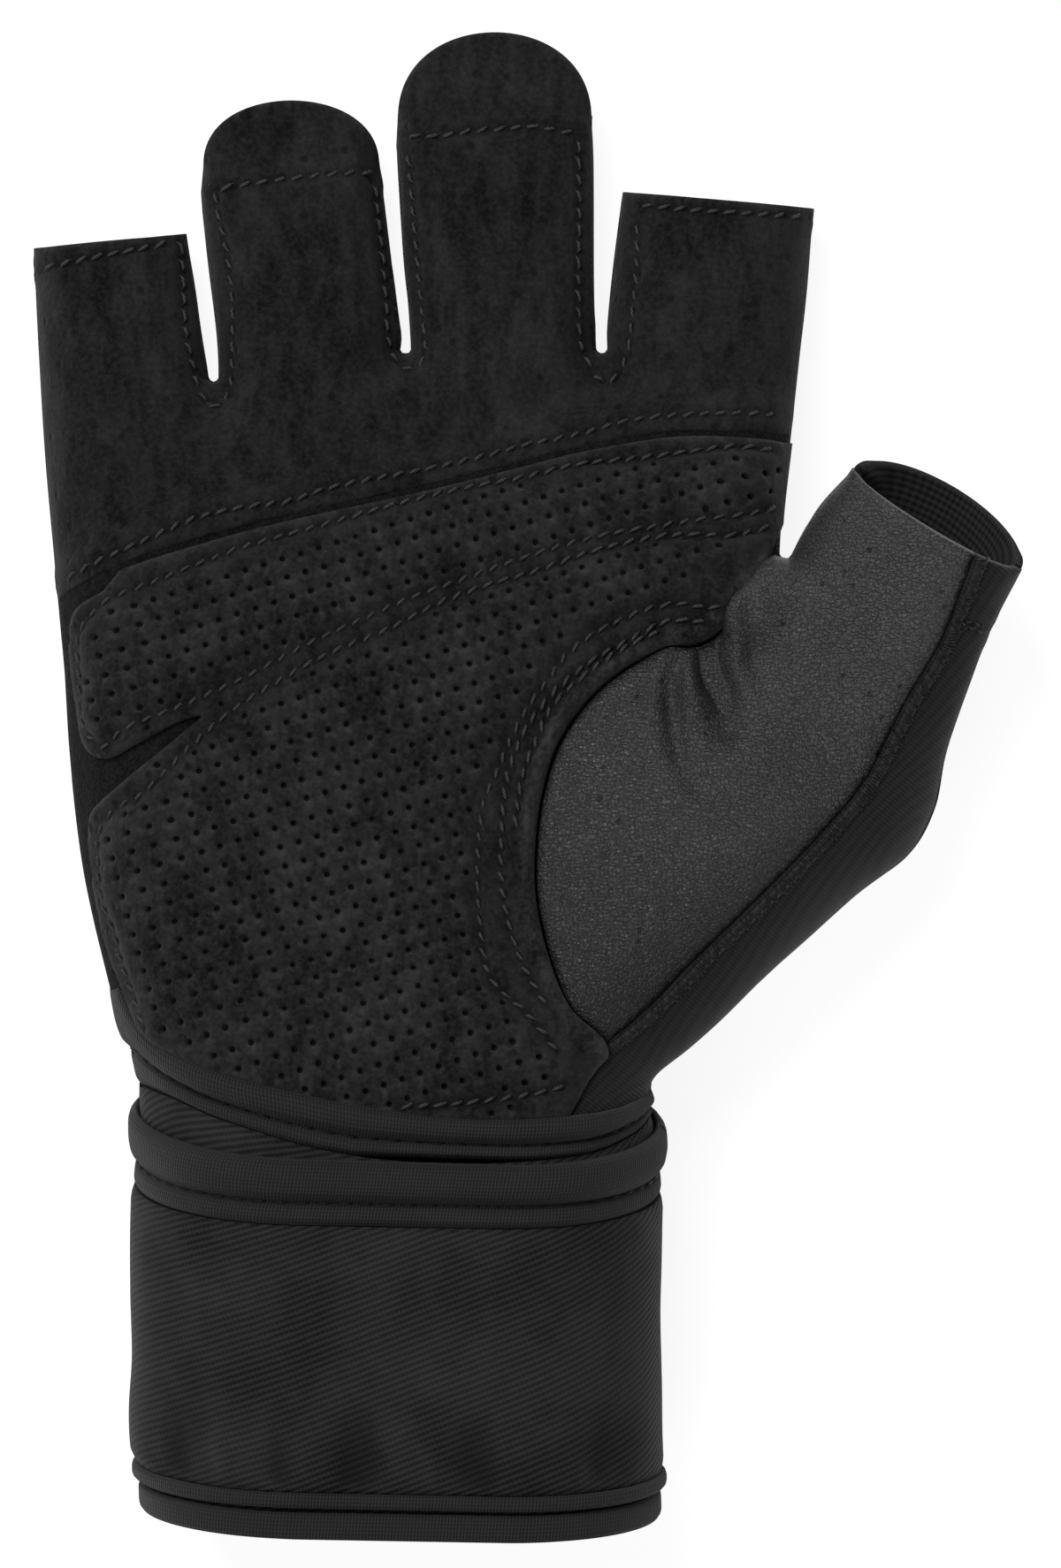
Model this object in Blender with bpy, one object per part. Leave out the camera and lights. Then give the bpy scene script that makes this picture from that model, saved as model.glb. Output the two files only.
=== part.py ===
# A half-finger weightlifting glove with a wrist wrap, lying palm up on its back.
# +X points to the thumb's side, +Y to the fingers and +Z out of the palm.
import math

import bmesh
import bpy
import numpy as np
from mathutils.geometry import delaunay_2d_cdt

# Driving sizes, in metres
PALM_WIDTH = 0.096
PALM_LENGTH = 0.0937
PALM_HEIGHT = 0.030
FINGER_HEIGHT = 0.0165
FINGERTIP_LIFT = 0.002
BALL_RISE = 0.007
THUMB_WIDTH = 0.0252
THUMB_DEPTH = 0.020
THUMB_LENGTH = 0.031
THUMB_ANGLE = math.radians(59)
THUMB_RISE = math.radians(20)
THUMB_ROOT_HEIGHT = 0.019
THUMB_RIM_SLANT = 0.0014
CROTCH_TO_TIP = 0.0144
CROTCH_TO_AXIS = 0.0141
THUMB_EDGE_RADIUS = 0.0116
CUFF_MIDDLE = -0.0012
GUSSET_FOOT_WIDTH = 0.005
WRIST_WIDTH = 0.0662
WRIST_HEIGHT = 0.041
CUFF_LENGTH = 0.0575

# Walls and gaps
SUEDE_THICKNESS = 0.0013
LEATHER_THICKNESS = 0.0012
CLOTH_THICKNESS = 0.0012
BASE_THICKNESS = 0.001
PAD_THICKNESS = 0.0012
PAD_RISE = 0.0016
PAD_EDGE = 0.005
PAD_CORNER = 0.0045
TWILL_THICKNESS = 0.0012
PATCH_THICKNESS = 0.001
BINDING_PUFF = 0.0029
BINDING_FLAT = 0.0015
TAB_RISE = 0.004
SLIT_RADIUS = 0.0008
EDGE_RADIUS = 0.020
SIDE_REACH = 0.020
TAB_MARGIN = 0.002
GAP = 0.0003

# Fineness of the meshes
GRID = 0.0062
EDGE_STEP = 0.0042
RING_SHARES = (0.076, 0.293, 0.617, 1.0)
EDGE_TURN = math.radians(21)

# Share of the form's height below its side seam, and of its rise that a flat tab keeps
SEAM_LEVEL = 0.48
TAB_FLATNESS = 0.2

# Where the palm turns into the thumb: along and across the thumb's axis, as shares of its sizes
THUMB_ALONG = (-0.75, 0.6)
THUMB_SIDE = (-0.85, -0.42)

# Where the wrap's lap starts and ends and over how much it climbs, in steps of the section
LAP_START = 18
LAP_END = 25
LAP_CLIMB = 3

# The lowest cloth of the wrist stands on the lapped wrap
LAP_RISE = TWILL_THICKNESS + PATCH_THICKNESS + 2 * GAP
WRIST_LOW = LAP_RISE + GAP + BINDING_FLAT

# Sections along the length: place (share of the palm's length), underside as shares of
# WRIST_LOW and FINGERTIP_LIFT, top as shares of the wrist's, palm's and finger's heights, and
# the edge's radius as a share of EDGE_RADIUS
SECTIONS = (
    # place, wrist low, finger low, wrist top, palm top, finger top, edge radius
    (-1.06, 1.0, 0.0, 1.00, 0.00, 0.00, 1.00),
    (-0.70, 1.0, 0.0, 0.97, 0.00, 0.00, 1.00),
    (-0.47, 1.0, 0.0, 0.98, 0.00, 0.00, 1.00),
    (-0.36, 1.0, 0.0, 0.70, 0.36, 0.00, 0.95),
    (-0.24, 0.42, 0.0, 0.20, 0.92, 0.00, 0.85),
    (-0.12, 0.0, 0.0, 0.00, 1.12, 0.00, 0.75),
    (0.10, 0.0, 0.0, 0.00, 1.00, 0.00, 0.60),
    (0.36, 0.0, 0.0, 0.00, 0.80, 0.00, 0.50),
    (0.54, 0.0, 0.0, 0.00, 0.00, 1.18, 0.41),
    (0.72, 0.0, 0.5, 0.00, 0.00, 1.05, 0.40),
    (0.95, 0.0, 1.0, 0.00, 0.00, 1.00, 0.40),
)

# Side of the little finger: x as shares of the palm's and the wrist's widths, y share
LEFT_SIDE = (
    # palm width, wrist width, y
    (-0.169, -0.487, -1.060),
    (-0.169, -0.500, -0.720),
    (-0.169, -0.500, -0.470),
    (-0.345, -0.290, -0.330),
    (-0.581, 0.000, -0.180),
    (-0.598, 0.000, -0.087),
    (-0.611, 0.000, 0.032),
    (-0.619, 0.000, 0.154),
    (-0.633, 0.000, 0.313),
    (-0.645, 0.000, 0.447),
    (-0.654, 0.000, 0.593),
    (-0.661, 0.000, 0.740),
)

# Slits between the fingers and the crotch of the thumb: the side going down, the centre of
# the round bottom, and the side going back up
SLITS = (
    # x and y of each point, from the little finger to the index
    (((-0.456, 0.760), (-0.452, 0.736), (-0.430, 0.591)), (-0.418, 0.564),
     ((-0.413, 0.614), (-0.427, 0.729), (-0.435, 0.818))),
    (((-0.192, 0.833), (-0.181, 0.661), (-0.168, 0.622)), (-0.159, 0.602),
     ((-0.154, 0.661), (-0.161, 0.731), (-0.171, 0.896))),
    (((0.094, 0.923), (0.095, 0.686), (0.097, 0.634)), (0.105, 0.603),
     ((0.113, 0.634), (0.121, 0.717), (0.134, 0.818))),
)
THUMB_CROTCH = (((0.391, 0.795), (0.383, 0.685), (0.373, 0.593), (0.361, 0.481),
                 (0.349, 0.379)), (0.353, 0.319), ())

# Outer side from the ball of the thumb down to the wrist: x shares as on LEFT_SIDE
BALL_SIDE = (
    # palm width, wrist width, y
    (0.570, 0.000, 0.045),
    (0.554, 0.000, -0.035),
    (0.518, 0.000, -0.099),
    (0.443, 0.000, -0.157),
    (0.346, 0.000, -0.247),
    (0.229, 0.000, -0.359),
    (0.096, 0.110, -0.412),
    (-0.169, 0.500, -0.470),
    (-0.169, 0.490, -0.720),
    (-0.169, 0.502, -1.060),
)

# Round pull tabs: finger's left and right x at its end, y at the end, length past it
TABS = (
    # left x, right x, end y, length share
    (-0.430, -0.190, 0.838, 0.106),
    (-0.168, 0.094, 0.895, 0.143),
)

# Seams on the palm side, as shares of the palm's width and length
SUEDE_EDGE = ((-0.64, 0.250), (-0.568, 0.291), (-0.476, 0.326), (-0.324, 0.368),
              (-0.113, 0.416), (0.077, 0.464), (0.192, 0.485), (0.282, 0.485), (0.362, 0.480))
HOLE_EDGE = ((0.345, 0.304), (0.301, 0.249), (0.249, 0.198), (0.181, 0.182), (0.107, 0.135),
             (0.052, 0.064), (0.026, -0.016), (0.017, -0.096), (0.019, -0.163),
             (0.035, -0.236), (0.063, -0.307), (0.111, -0.359))
GUSSET_SEAM = ((0.564, 0.201), (0.515, 0.113), (0.465, 0.012), (0.411, -0.058),
               (0.346, -0.129), (0.237, -0.240), (0.164, -0.315), (0.111, -0.359))
GUSSET_RIM_SHARE = 0.76

# The overlay's free edge: upper lobe, slit, lower lobe
LOBE_EDGE = ((-0.560, 0.264), (-0.600, 0.235), (-0.611, 0.185), (-0.602, 0.105),
             (-0.589, 0.055), (-0.560, 0.034), (-0.519, 0.054), (-0.464, 0.084),
             (-0.432, 0.092), (-0.456, 0.070), (-0.496, 0.036), (-0.543, -0.005),
             (-0.577, -0.040), (-0.583, -0.081), (-0.576, -0.157), (-0.560, -0.230),
             (-0.530, -0.300))
CHANNEL = ((-0.44, 0.085), (-0.324, 0.165), (-0.190, 0.228), (-0.060, 0.280),
           (0.080, 0.322), (0.220, 0.350), (0.330, 0.352))

# Lines across the wrist: y at the little finger's side and at the thumb's side, as shares of
# the cuff's length below the palm's middle, and the drop over the half height
BAND_LINES = {
    # name: left y, right y, drop
    "cuff_top": (-0.505, -0.685, 0.36),
    "cuff_flange": (-0.590, -0.735, 0.36),
    "wrap_top": (-0.708, -0.742, 0.32),
    "wrap_flange": (-0.880, -0.900, 0.26),
    "wrap_hem": (-1.495, -1.518, 0.20),
    "wrap_bottom": (-1.530, -1.553, 0.20),
    "cuff_hem": (-1.540, -1.560, 0.20),
    "cuff_bottom": (-1.600, -1.620, 0.20),
}

# A line that runs along the lower of two others
LOWEST_OF = {"cuff_shoulder": ("wrap_top", "cuff_waist")}

# A rolled tape's outside: share of the way down it, and rise as a share of its thickness
ROLLED_TAPE = ((0.00, 0.35), (0.10, 0.80), (0.30, 1.00), (0.50, 0.85), (0.62, 0.45),
               (1.00, 0.45))

# Colours: base colour, roughness
FINISHES = {
    "suede": ((0.012, 0.012, 0.013, 1.0), 0.9),
    "perforated_suede": ((0.013, 0.013, 0.014, 1.0), 0.9),
    "base_cloth": ((0.010, 0.010, 0.011, 1.0), 0.8),
    "leather": ((0.022, 0.022, 0.024, 1.0), 0.5),
    "rib_knit": ((0.018, 0.018, 0.020, 1.0), 0.9),
    "twill": ((0.015, 0.015, 0.017, 1.0), 0.85),
    "binding_knit": ((0.020, 0.020, 0.022, 1.0), 0.9),
    "patch": ((0.010, 0.010, 0.011, 1.0), 0.7),
}


def smoothstep(low, high, values):
    share = np.clip((values - low) / (high - low), 0.0, 1.0)
    return share * share * (3.0 - 2.0 * share)


def curve_table(places, table):
    """Reads a table's columns at the places on smooth curves through its rows."""
    rows = np.array(table, dtype=float)
    keys = rows[:, 0]
    places = np.clip(places, keys[0], keys[-1])
    index = np.clip(np.searchsorted(keys, places) - 1, 0, len(keys) - 2)
    span = keys[index + 1] - keys[index]
    share = ((places - keys[index]) / span)[:, None]
    slopes = np.gradient(rows[:, 1:], keys, axis=0)
    start = rows[index, 1:]
    end = rows[index + 1, 1:]
    rise = end - start
    start_slope = slopes[index] * span[:, None]
    end_slope = slopes[index + 1] * span[:, None]
    square = share * share
    cube = square * share
    return (start + start_slope * (cube - 2 * square + share)
            + rise * (3 * square - 2 * cube) + end_slope * (cube - square))


def palm_points(shares):
    return np.array([(x * PALM_WIDTH, y * PALM_LENGTH) for x, y in shares])


def mixed_points(rows):
    return np.array([(palm * PALM_WIDTH + wrist * WRIST_WIDTH, y * PALM_LENGTH)
                     for palm, wrist, y in rows])


def smooth_line(points, step=EDGE_STEP):
    """A smooth line through the points, with a point about every step."""
    points = np.asarray(points, dtype=float)
    ends = np.vstack((2 * points[0] - points[1], points, 2 * points[-1] - points[-2]))
    fine = []
    for i in range(len(points) - 1):
        a, b, c, d = ends[i:i + 4]
        count = max(1, math.ceil(np.linalg.norm(c - b) / step))
        for j in range(count):
            t = j / count
            fine.append(0.5 * (2 * b + (c - a) * t + (2 * a - 5 * b + 4 * c - d) * t * t
                               + (3 * b - a - 3 * c + d) * t ** 3))
    fine.append(points[-1])
    return np.array(fine)


def thumb_axis():
    direction = np.array((math.cos(THUMB_ANGLE), math.sin(THUMB_ANGLE)))
    across = np.array((direction[1], -direction[0]))
    tip = INDEX_CROTCH + CROTCH_TO_TIP * direction + CROTCH_TO_AXIS * across
    return tip - direction * THUMB_LENGTH, direction, across, tip


def slit_points(slit):
    """A slit's two sides joined by the half round of its bottom."""
    down, centre, back = slit
    turns = [math.pi * (1.1 + 0.2 * i) for i in range(5)]
    bottom = [palm_points([centre])[0] + SLIT_RADIUS * np.array((math.cos(a), math.sin(a)))
              for a in turns]
    parts = [palm_points(down), bottom] + ([palm_points(back)] if back else [])
    return np.vstack(parts)


INDEX_CROTCH = palm_points([THUMB_CROTCH[1]])[0] - (0.0, SLIT_RADIUS)
THUMB_ROOT, THUMB_DIRECTION, THUMB_ACROSS, THUMB_TIP = thumb_axis()
RIM_LEFT = THUMB_TIP - THUMB_ACROSS * THUMB_WIDTH / 2
RIM_RIGHT = THUMB_TIP + THUMB_ACROSS * THUMB_WIDTH / 2


def thumb_rim(face):
    """The thumb's open end, from its left to its right, on the top or the under face."""
    reach = THUMB_DEPTH / 2 * math.sin(THUMB_RISE)
    points = []
    for i in range(9):
        angle = math.pi * i / 8
        slant = (THUMB_RIM_SLANT - face * reach) * math.sin(angle)
        points.append(THUMB_TIP - THUMB_ACROSS * THUMB_WIDTH / 2 * math.cos(angle)
                      + THUMB_DIRECTION * slant)
    return np.array(points)


def thumb_outer_side():
    """From the ball of the thumb to the right end of the rim."""
    ball = mixed_points(BALL_SIDE[:1])[0]
    hollow = THUMB_ACROSS * THUMB_WIDTH * 0.026
    along = [ball, ball * 0.6 + RIM_RIGHT * 0.4 - hollow,
             ball * 0.33 + RIM_RIGHT * 0.67 - hollow, RIM_RIGHT]
    return np.array(along)


def side_lines():
    """The closed sides of the form, each with the inside on its right hand."""
    left = smooth_line(mixed_points(LEFT_SIDE))
    slits = [smooth_line(slit_points(slit), EDGE_STEP * 0.8) for slit in SLITS]
    crotch = slit_points(THUMB_CROTCH)
    bowed = crotch[-1] * 0.5 + RIM_LEFT * 0.5 - THUMB_ACROSS * THUMB_WIDTH * 0.03
    inner = smooth_line(np.vstack((crotch, bowed, RIM_LEFT)))
    outer_points = np.vstack((thumb_outer_side()[::-1], mixed_points(BALL_SIDE[1:])))
    outer = smooth_line(outer_points)
    return [left] + slits + [inner, outer]


SIDES = side_lines()
LEFT_LINE = SIDES[0]
RIGHT_LINE = SIDES[-1]
WRIST_RIGHT_LINE = RIGHT_LINE[len(RIGHT_LINE) // 3:]


def extended(line):
    """The line with its free ends carried straight on past the cloth's end."""
    start, end = line[0] - line[1], line[-1] - line[-2]
    first = line[0] + start / np.linalg.norm(start) * SIDE_REACH
    last = line[-1] + end / np.linalg.norm(end) * SIDE_REACH
    return np.vstack((first, line, last))


SEGMENTS = [(line[:-1], line[1:]) for line in map(extended, SIDES)]
SEGMENT_STARTS = np.vstack([start for start, end in SEGMENTS])
SEGMENT_ENDS = np.vstack([end for start, end in SEGMENTS])


def side_distance(points):
    """Distance to the nearest side of the form and the direction inwards from it."""
    step = SEGMENT_ENDS - SEGMENT_STARTS
    length = (step ** 2).sum(axis=1)
    away = points[:, None, :] - SEGMENT_STARTS[None]
    share = np.clip((away * step[None]).sum(axis=2) / length, 0.0, 1.0)
    offset = away - share[..., None] * step[None]
    distance = np.sqrt((offset ** 2).sum(axis=2))
    nearest = distance.argmin(axis=1)
    rows = np.arange(len(points))
    best = distance[rows, nearest]
    inward = np.stack((step[nearest, 1], -step[nearest, 0]), axis=1)
    inward /= np.linalg.norm(inward, axis=1)[:, None]
    direct = offset[rows, nearest]
    close = best < GAP * 0.5
    direct = np.where(close[:, None], inward, direct / np.maximum(best, 1e-12)[:, None])
    return np.where(close, 0.0, best), direct


def thumb_share(points):
    """0 on the palm and 1 on the thumb, and the place along the thumb's axis."""
    away = points - THUMB_ROOT
    along = away @ THUMB_DIRECTION / THUMB_LENGTH
    across = away @ THUMB_ACROSS / THUMB_WIDTH
    share = smoothstep(*THUMB_ALONG, along) * smoothstep(*THUMB_SIDE, across)
    return share, along


def tab_share(points):
    """0 on a finger's round part and 1 on its flat pull tab."""
    share = np.zeros(len(points))
    for left, right, end, reach in TABS:
        inside = (points[:, 0] > left * PALM_WIDTH - TAB_MARGIN)
        inside &= (points[:, 0] < right * PALM_WIDTH + TAB_MARGIN)
        past = smoothstep(-0.3 * reach, 0.6 * reach, points[:, 1] / PALM_LENGTH - end)
        share = np.where(inside, past, share)
    return share


def section_fields(points):
    """Underside, top and edge radius of the form at the points, without the edge's curve."""
    columns = curve_table(points[:, 1] / PALM_LENGTH, SECTIONS)
    wrist_low, finger_low, wrist_top, palm_top, finger_top, radius = columns.T
    radius = radius * EDGE_RADIUS
    low = np.maximum(wrist_low * WRIST_LOW + finger_low * FINGERTIP_LIFT, 0.0)
    height = wrist_top * WRIST_HEIGHT + palm_top * PALM_HEIGHT + finger_top * FINGER_HEIGHT
    ball = (points - THUMB_ROOT) / (PALM_WIDTH * 0.25, PALM_LENGTH * 0.36)
    ball[:, 1] += 0.25
    height = height + BALL_RISE * np.exp(-(ball ** 2).sum(axis=1))
    share, along = thumb_share(points)
    centre = THUMB_ROOT_HEIGHT + along * THUMB_LENGTH * math.tan(THUMB_RISE)
    low = low * (1 - share) + (centre - THUMB_DEPTH / 2) * share
    top = height * (1 - share) + (centre + THUMB_DEPTH / 2) * share
    radius = radius * (1 - share) + THUMB_EDGE_RADIUS * share
    return np.maximum(low, 0.0), top, radius


def form_points(points, face, offset=0.0):
    """Points of the form's top (face 1) or under (face -1) sheet, moved out by the offset."""
    points = np.asarray(points, dtype=float)
    distance, inward = side_distance(points)
    low, top, radius = section_fields(points)
    nudge = GAP
    slopes = []
    for axis in ((nudge, 0.0), (0.0, nudge)):
        ahead = section_fields(points + axis)
        slopes.append(((ahead[0] - low) / nudge, (ahead[1] - top) / nudge))
    middle = low + (top - low) * SEAM_LEVEL
    reach = np.minimum(distance / radius, 1.0)
    cosine = 1.0 - reach
    sine = np.sqrt(1.0 - cosine ** 2)
    if face > 0:
        rise = top - middle
        slope = np.stack((slopes[0][1], slopes[1][1]), axis=1)
        flat = tab_share(points)
    else:
        rise = middle - low
        slope = np.stack((slopes[0][0], slopes[1][0]), axis=1) * -1
        flat = np.zeros(len(points))
    base = middle + face * GAP / 2 + flat * TAB_RISE
    rise = rise * (1 - flat * (1 - TAB_FLATNESS))
    height = base + face * rise * sine
    side = -inward * (rise / radius * cosine * (1 - flat))[:, None] - slope * sine[:, None]
    upright = np.maximum(sine, flat) + 1e-9
    normal = np.column_stack((side, face * upright))
    normal /= np.linalg.norm(normal, axis=1)[:, None]
    where = np.column_stack((points, height))
    offset = np.asarray(offset, dtype=float)
    if offset.ndim:
        offset = offset[:, None]
    return where + normal * offset


def side_x(line, y):
    """The x of a side line where it crosses the heights y near the wrist."""
    order = np.argsort(line[:, 1])
    return np.interp(y, line[order, 1], line[order, 0])


def across_wrist(shares, y):
    """Plan points at shares of the way from the left side to the right, at the heights y."""
    left_x = side_x(LEFT_LINE, y)
    right_x = side_x(WRIST_RIGHT_LINE, y)
    return np.column_stack((left_x + (right_x - left_x) * shares, y))


def band_plan(shares, face, name):
    """Plan places of a line across the wrist: shares run from its left to its right."""
    left, right, drop = BAND_LINES[name]
    shares = np.asarray(shares, dtype=float)
    level = CUFF_MIDDLE + (left + (right - left) * shares) * CUFF_LENGTH
    y = level.copy()
    for _ in range(3):
        points = across_wrist(shares, y)
        distance, _ = side_distance(points)
        low, top, radius = section_fields(points)
        cosine = 1.0 - np.minimum(distance / radius, 1.0)
        half = (top - low) / 2
        y = level - face * drop * half * np.sqrt(1.0 - cosine ** 2)
    return across_wrist(shares, y)


def sampled(points, step=EDGE_STEP):
    """A smooth line's points, closer together where the form's edge curves down."""
    fine = smooth_line(points, EDGE_STEP / 24)
    distance = side_distance(fine)[0]
    radius = section_fields(fine)[2]
    angle = np.arccos(1.0 - np.minimum(distance / radius, 1.0))
    kept = [0]
    for i in range(1, len(fine) - 1):
        gone = np.linalg.norm(fine[i] - fine[kept[-1]])
        left = np.linalg.norm(fine[i] - fine[-1])
        turned = abs(angle[i] - angle[kept[-1]]) > EDGE_TURN and gone > EDGE_STEP / 8
        if (gone > step or turned) and left > EDGE_STEP / 8:
            kept.append(i)
    return fine[kept + [len(fine) - 1]]


def shifted(line, distance):
    """The line moved to its left by the distance."""
    steps = np.gradient(line, axis=0)
    steps /= np.linalg.norm(steps, axis=1)[:, None]
    return line + np.column_stack((-steps[:, 1], steps[:, 0])) * distance


def inside_outline(points, outline):
    """Whether each point lies inside the closed outline."""
    x, y = points[:, 0][:, None], points[:, 1][:, None]
    ax, ay = outline[:, 0], outline[:, 1]
    bx, by = np.roll(ax, -1), np.roll(ay, -1)
    crosses = (ay > y) != (by > y)
    at = ax + (y - ay) / np.where(np.abs(by - ay) < 1e-12, 1e-12, by - ay) * (bx - ax)
    return (crosses & (x < at)).sum(axis=1) % 2 == 1


def outline_gap(points, outline):
    """Distance from each point to the closed outline."""
    ends = np.roll(outline, -1, axis=0)
    step = ends - outline
    length = np.maximum((step ** 2).sum(axis=1), 1e-16)
    away = points[:, None, :] - outline[None]
    share = np.clip((away * step[None]).sum(axis=2) / length, 0.0, 1.0)
    return np.sqrt(((away - share[..., None] * step[None]) ** 2).sum(axis=2)).min(axis=1)


def ring_points():
    """Points at set shares of the edge radius in from every side line."""
    found = []
    for line in SIDES:
        steps = np.gradient(line, axis=0)
        steps /= np.linalg.norm(steps, axis=1)[:, None]
        inward = np.column_stack((steps[:, 1], -steps[:, 0]))
        radius = section_fields(line)[2]
        for share in RING_SHARES:
            moved = line + inward * (radius * share)[:, None]
            distance = side_distance(moved)[0]
            found.append(moved[np.abs(distance - radius * share) < radius * 0.05])
    return thinned(np.vstack(found), EDGE_STEP * 0.17, EDGE_STEP * 0.6)


def thinned(points, near, far):
    """The points less those that lie close to an earlier one; less close towards a side."""
    distance = side_distance(points)[0]
    least = np.clip(distance * 0.6, near, far)
    kept = []
    for i, point in enumerate(points):
        if not kept or np.linalg.norm(points[kept] - point, axis=1).min() > least[i]:
            kept.append(i)
    return points[kept]


def grid_points():
    """An even grid of points over the whole glove."""
    reach = 1.9 * (PALM_WIDTH + PALM_LENGTH) / 2
    count = int(reach / GRID)
    rows = []
    for i in range(-count, count):
        for j in range(-count, count):
            rows.append(((i + 0.5 * (j % 2)) * GRID, j * GRID * 0.87))
    return np.array(rows)


def inner_points():
    rings = ring_points()
    grid = grid_points()
    distance = side_distance(grid)[0]
    radius = section_fields(grid)[2]
    grid = grid[distance > radius * 0.8]
    apart = np.linalg.norm(grid[:, None] - rings[None], axis=2).min(axis=1)
    return np.vstack((rings, grid[apart > GRID * 0.55]))


def plan_mesh(outline, extra=None):
    """Triangles over the plan outline, through the form's points that lie in it."""
    points = INNER_POINTS
    if extra is not None:
        apart = np.linalg.norm(points[:, None] - extra[None], axis=2).min(axis=1)
        points = np.vstack((extra, points[apart > EDGE_STEP * 0.6]))
    points = points[inside_outline(points, outline)]
    clear = outline_gap(points, outline)
    distance = side_distance(points)[0]
    points = points[clear > np.clip(distance * 0.45, EDGE_STEP * 0.12, EDGE_STEP * 0.5)]
    every = [tuple(map(float, p)) for p in np.vstack((outline, points))]
    ring = list(range(len(outline)))
    found = delaunay_2d_cdt(every, [], [ring], 1, 1e-7)
    plan = np.array([(v[0], v[1]) for v in found[0]])
    faces = [tuple(f) for f in found[2] if len(f) == 3]
    return plan, faces


def wall_mesh(name, outer, inner, faces, finish):
    """A closed wall between two matching sheets."""
    mesh = bmesh.new()
    out = [mesh.verts.new(p) for p in outer]
    under = [mesh.verts.new(p) for p in inner]
    edges = {}
    for face in faces:
        mesh.faces.new([out[i] for i in face])
        mesh.faces.new([under[i] for i in reversed(face)])
        for a, b in zip(face, face[1:] + face[:1]):
            edges[(a, b)] = True
    for a, b in edges:
        if (b, a) not in edges:
            mesh.faces.new((out[b], out[a], under[a], under[b]))
    loose = [v for v in mesh.verts if not v.link_faces]
    bmesh.ops.delete(mesh, geom=loose, context="VERTS")
    bmesh.ops.triangulate(mesh, faces=mesh.faces)
    bmesh.ops.recalc_face_normals(mesh, faces=mesh.faces)
    return add_part(name, mesh, finish)


def add_part(name, mesh, finish):
    data = bpy.data.meshes.new(name)
    mesh.to_mesh(data)
    mesh.free()
    data.materials.append(MATERIALS[finish])
    data.shade_smooth()
    data.set_sharp_from_angle(angle=math.radians(50))
    part = bpy.data.objects.new(name, data)
    PARTS.objects.link(part)
    return part


def sheet_panel(name, outline, face, outside, inside, finish, extra=None):
    """A panel that follows the form: outside and inside are offsets or functions of place."""
    plan, faces = plan_mesh(outline, extra)
    over = outside(plan) if callable(outside) else outside
    outer = form_points(plan, face, over)
    inner = form_points(plan, face, inside)
    return wall_mesh(name, outer, inner, faces, finish)


def nearest_index(line, point):
    return int(np.linalg.norm(line - point, axis=1).argmin())


def cut_line(line, start, end):
    """The stretch of a line between its points nearest to start and end."""
    a, b = nearest_index(line, start), nearest_index(line, end)
    piece = line[a:b + 1] if a <= b else line[b:a + 1][::-1]
    return np.vstack((start, piece[1:-1], end))


def on_side(line, y):
    """The point of a side line at the height y."""
    order = np.argsort(line[:, 1])
    return np.array((np.interp(y, line[order, 1], line[order, 0]), y))


def tab_outline(row):
    """The round pull tab past a finger's end, from its left to its right."""
    left, right, end, reach = row
    points = []
    for i in range(1, 10):
        angle = math.pi * i / 10
        x = (left + right) / 2 - (right - left) / 2 * math.cos(angle)
        points.append((x, end + reach * math.sin(angle) ** 0.75))
    return palm_points(points)


def finger_tops(with_tabs):
    """The side lines from the little finger to the index, joined across the finger ends."""
    left, first, second, third, inner = SIDES[:5]
    crotch = nearest_index(inner, INDEX_CROTCH)
    little, ring, middle, index = [
        sampled((one[-1], two[0]))[1:-1]
        for one, two in ((left, first), (first, second), (second, third), (third, inner))]
    if with_tabs:
        ring, middle = tab_outline(TABS[0]), tab_outline(TABS[1])
    return [left, little, first, ring, second, middle, third, index, inner[:crotch + 1]]


def suede_seam(shift):
    """The suede's lower edge, moved up by the shift, between the two sides of the hand."""
    seam = shifted(smooth_line(palm_points(SUEDE_EDGE)), shift)
    left_end = on_side(LEFT_LINE, seam[0][1])
    right_end = on_side(finger_tops(False)[-1], seam[-1][1])
    inside = (seam[:, 0] > left_end[0] + GAP * 3) & (seam[:, 0] < right_end[0] - GAP * 3)
    return sampled(np.vstack((left_end, seam[inside], right_end)))


def suede_outline():
    seam = suede_seam(GAP / 2)
    parts = finger_tops(True)
    parts[0] = cut_line(LEFT_LINE, seam[0], LEFT_LINE[-1])
    parts[-1] = cut_line(parts[-1], parts[-1][0], seam[-1])
    return np.vstack(parts + [seam[::-1][1:-1]])


def base_outline():
    """From the suede's edge to the wrist, up to the thumb's hole."""
    seam = suede_seam(-GAP / 2)
    wrist = wrist_edge(1)
    hole = hole_line(-1)
    wrist = wrist[wrist[:, 0] < hole[-1][0] - GAP]
    left = cut_line(LEFT_LINE, wrist[0], seam[0])
    right = cut_line(finger_tops(False)[-1], seam[-1], hole[0])
    return np.vstack((left, seam[1:-1], right, hole[1:], wrist[::-1][:-1]))


def wrist_edge(face):
    """Where the body's panels end above the cuff's top binding."""
    shares = 0.5 - 0.5 * np.cos(np.linspace(0.0, math.pi, SECTION_COUNT + 1))
    return across_wrist(shares, band_plan(shares, face, "cuff_top")[:, 1] + GAP * 2.5)


def hole_line(side):
    """The leather's edge round the thumb's hole down to the wrist, shifted off the seam."""
    hole = palm_points(HOLE_EDGE)
    wrist = wrist_edge(1)
    tail_x = hole[-1][0] - GUSSET_FOOT_WIDTH
    tail = np.array((tail_x, np.interp(tail_x, wrist[:, 0], wrist[:, 1])))
    line = sampled(np.vstack((hole, (hole[-1] + tail) / 2, tail)))
    line = shifted(line, side * GAP / 2)
    line[-1][1] = np.interp(line[-1][0], wrist[:, 0], wrist[:, 1])
    line[0] = INDEX_CROTCH + (side * GAP * 0.75, 0.0)
    return line


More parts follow.
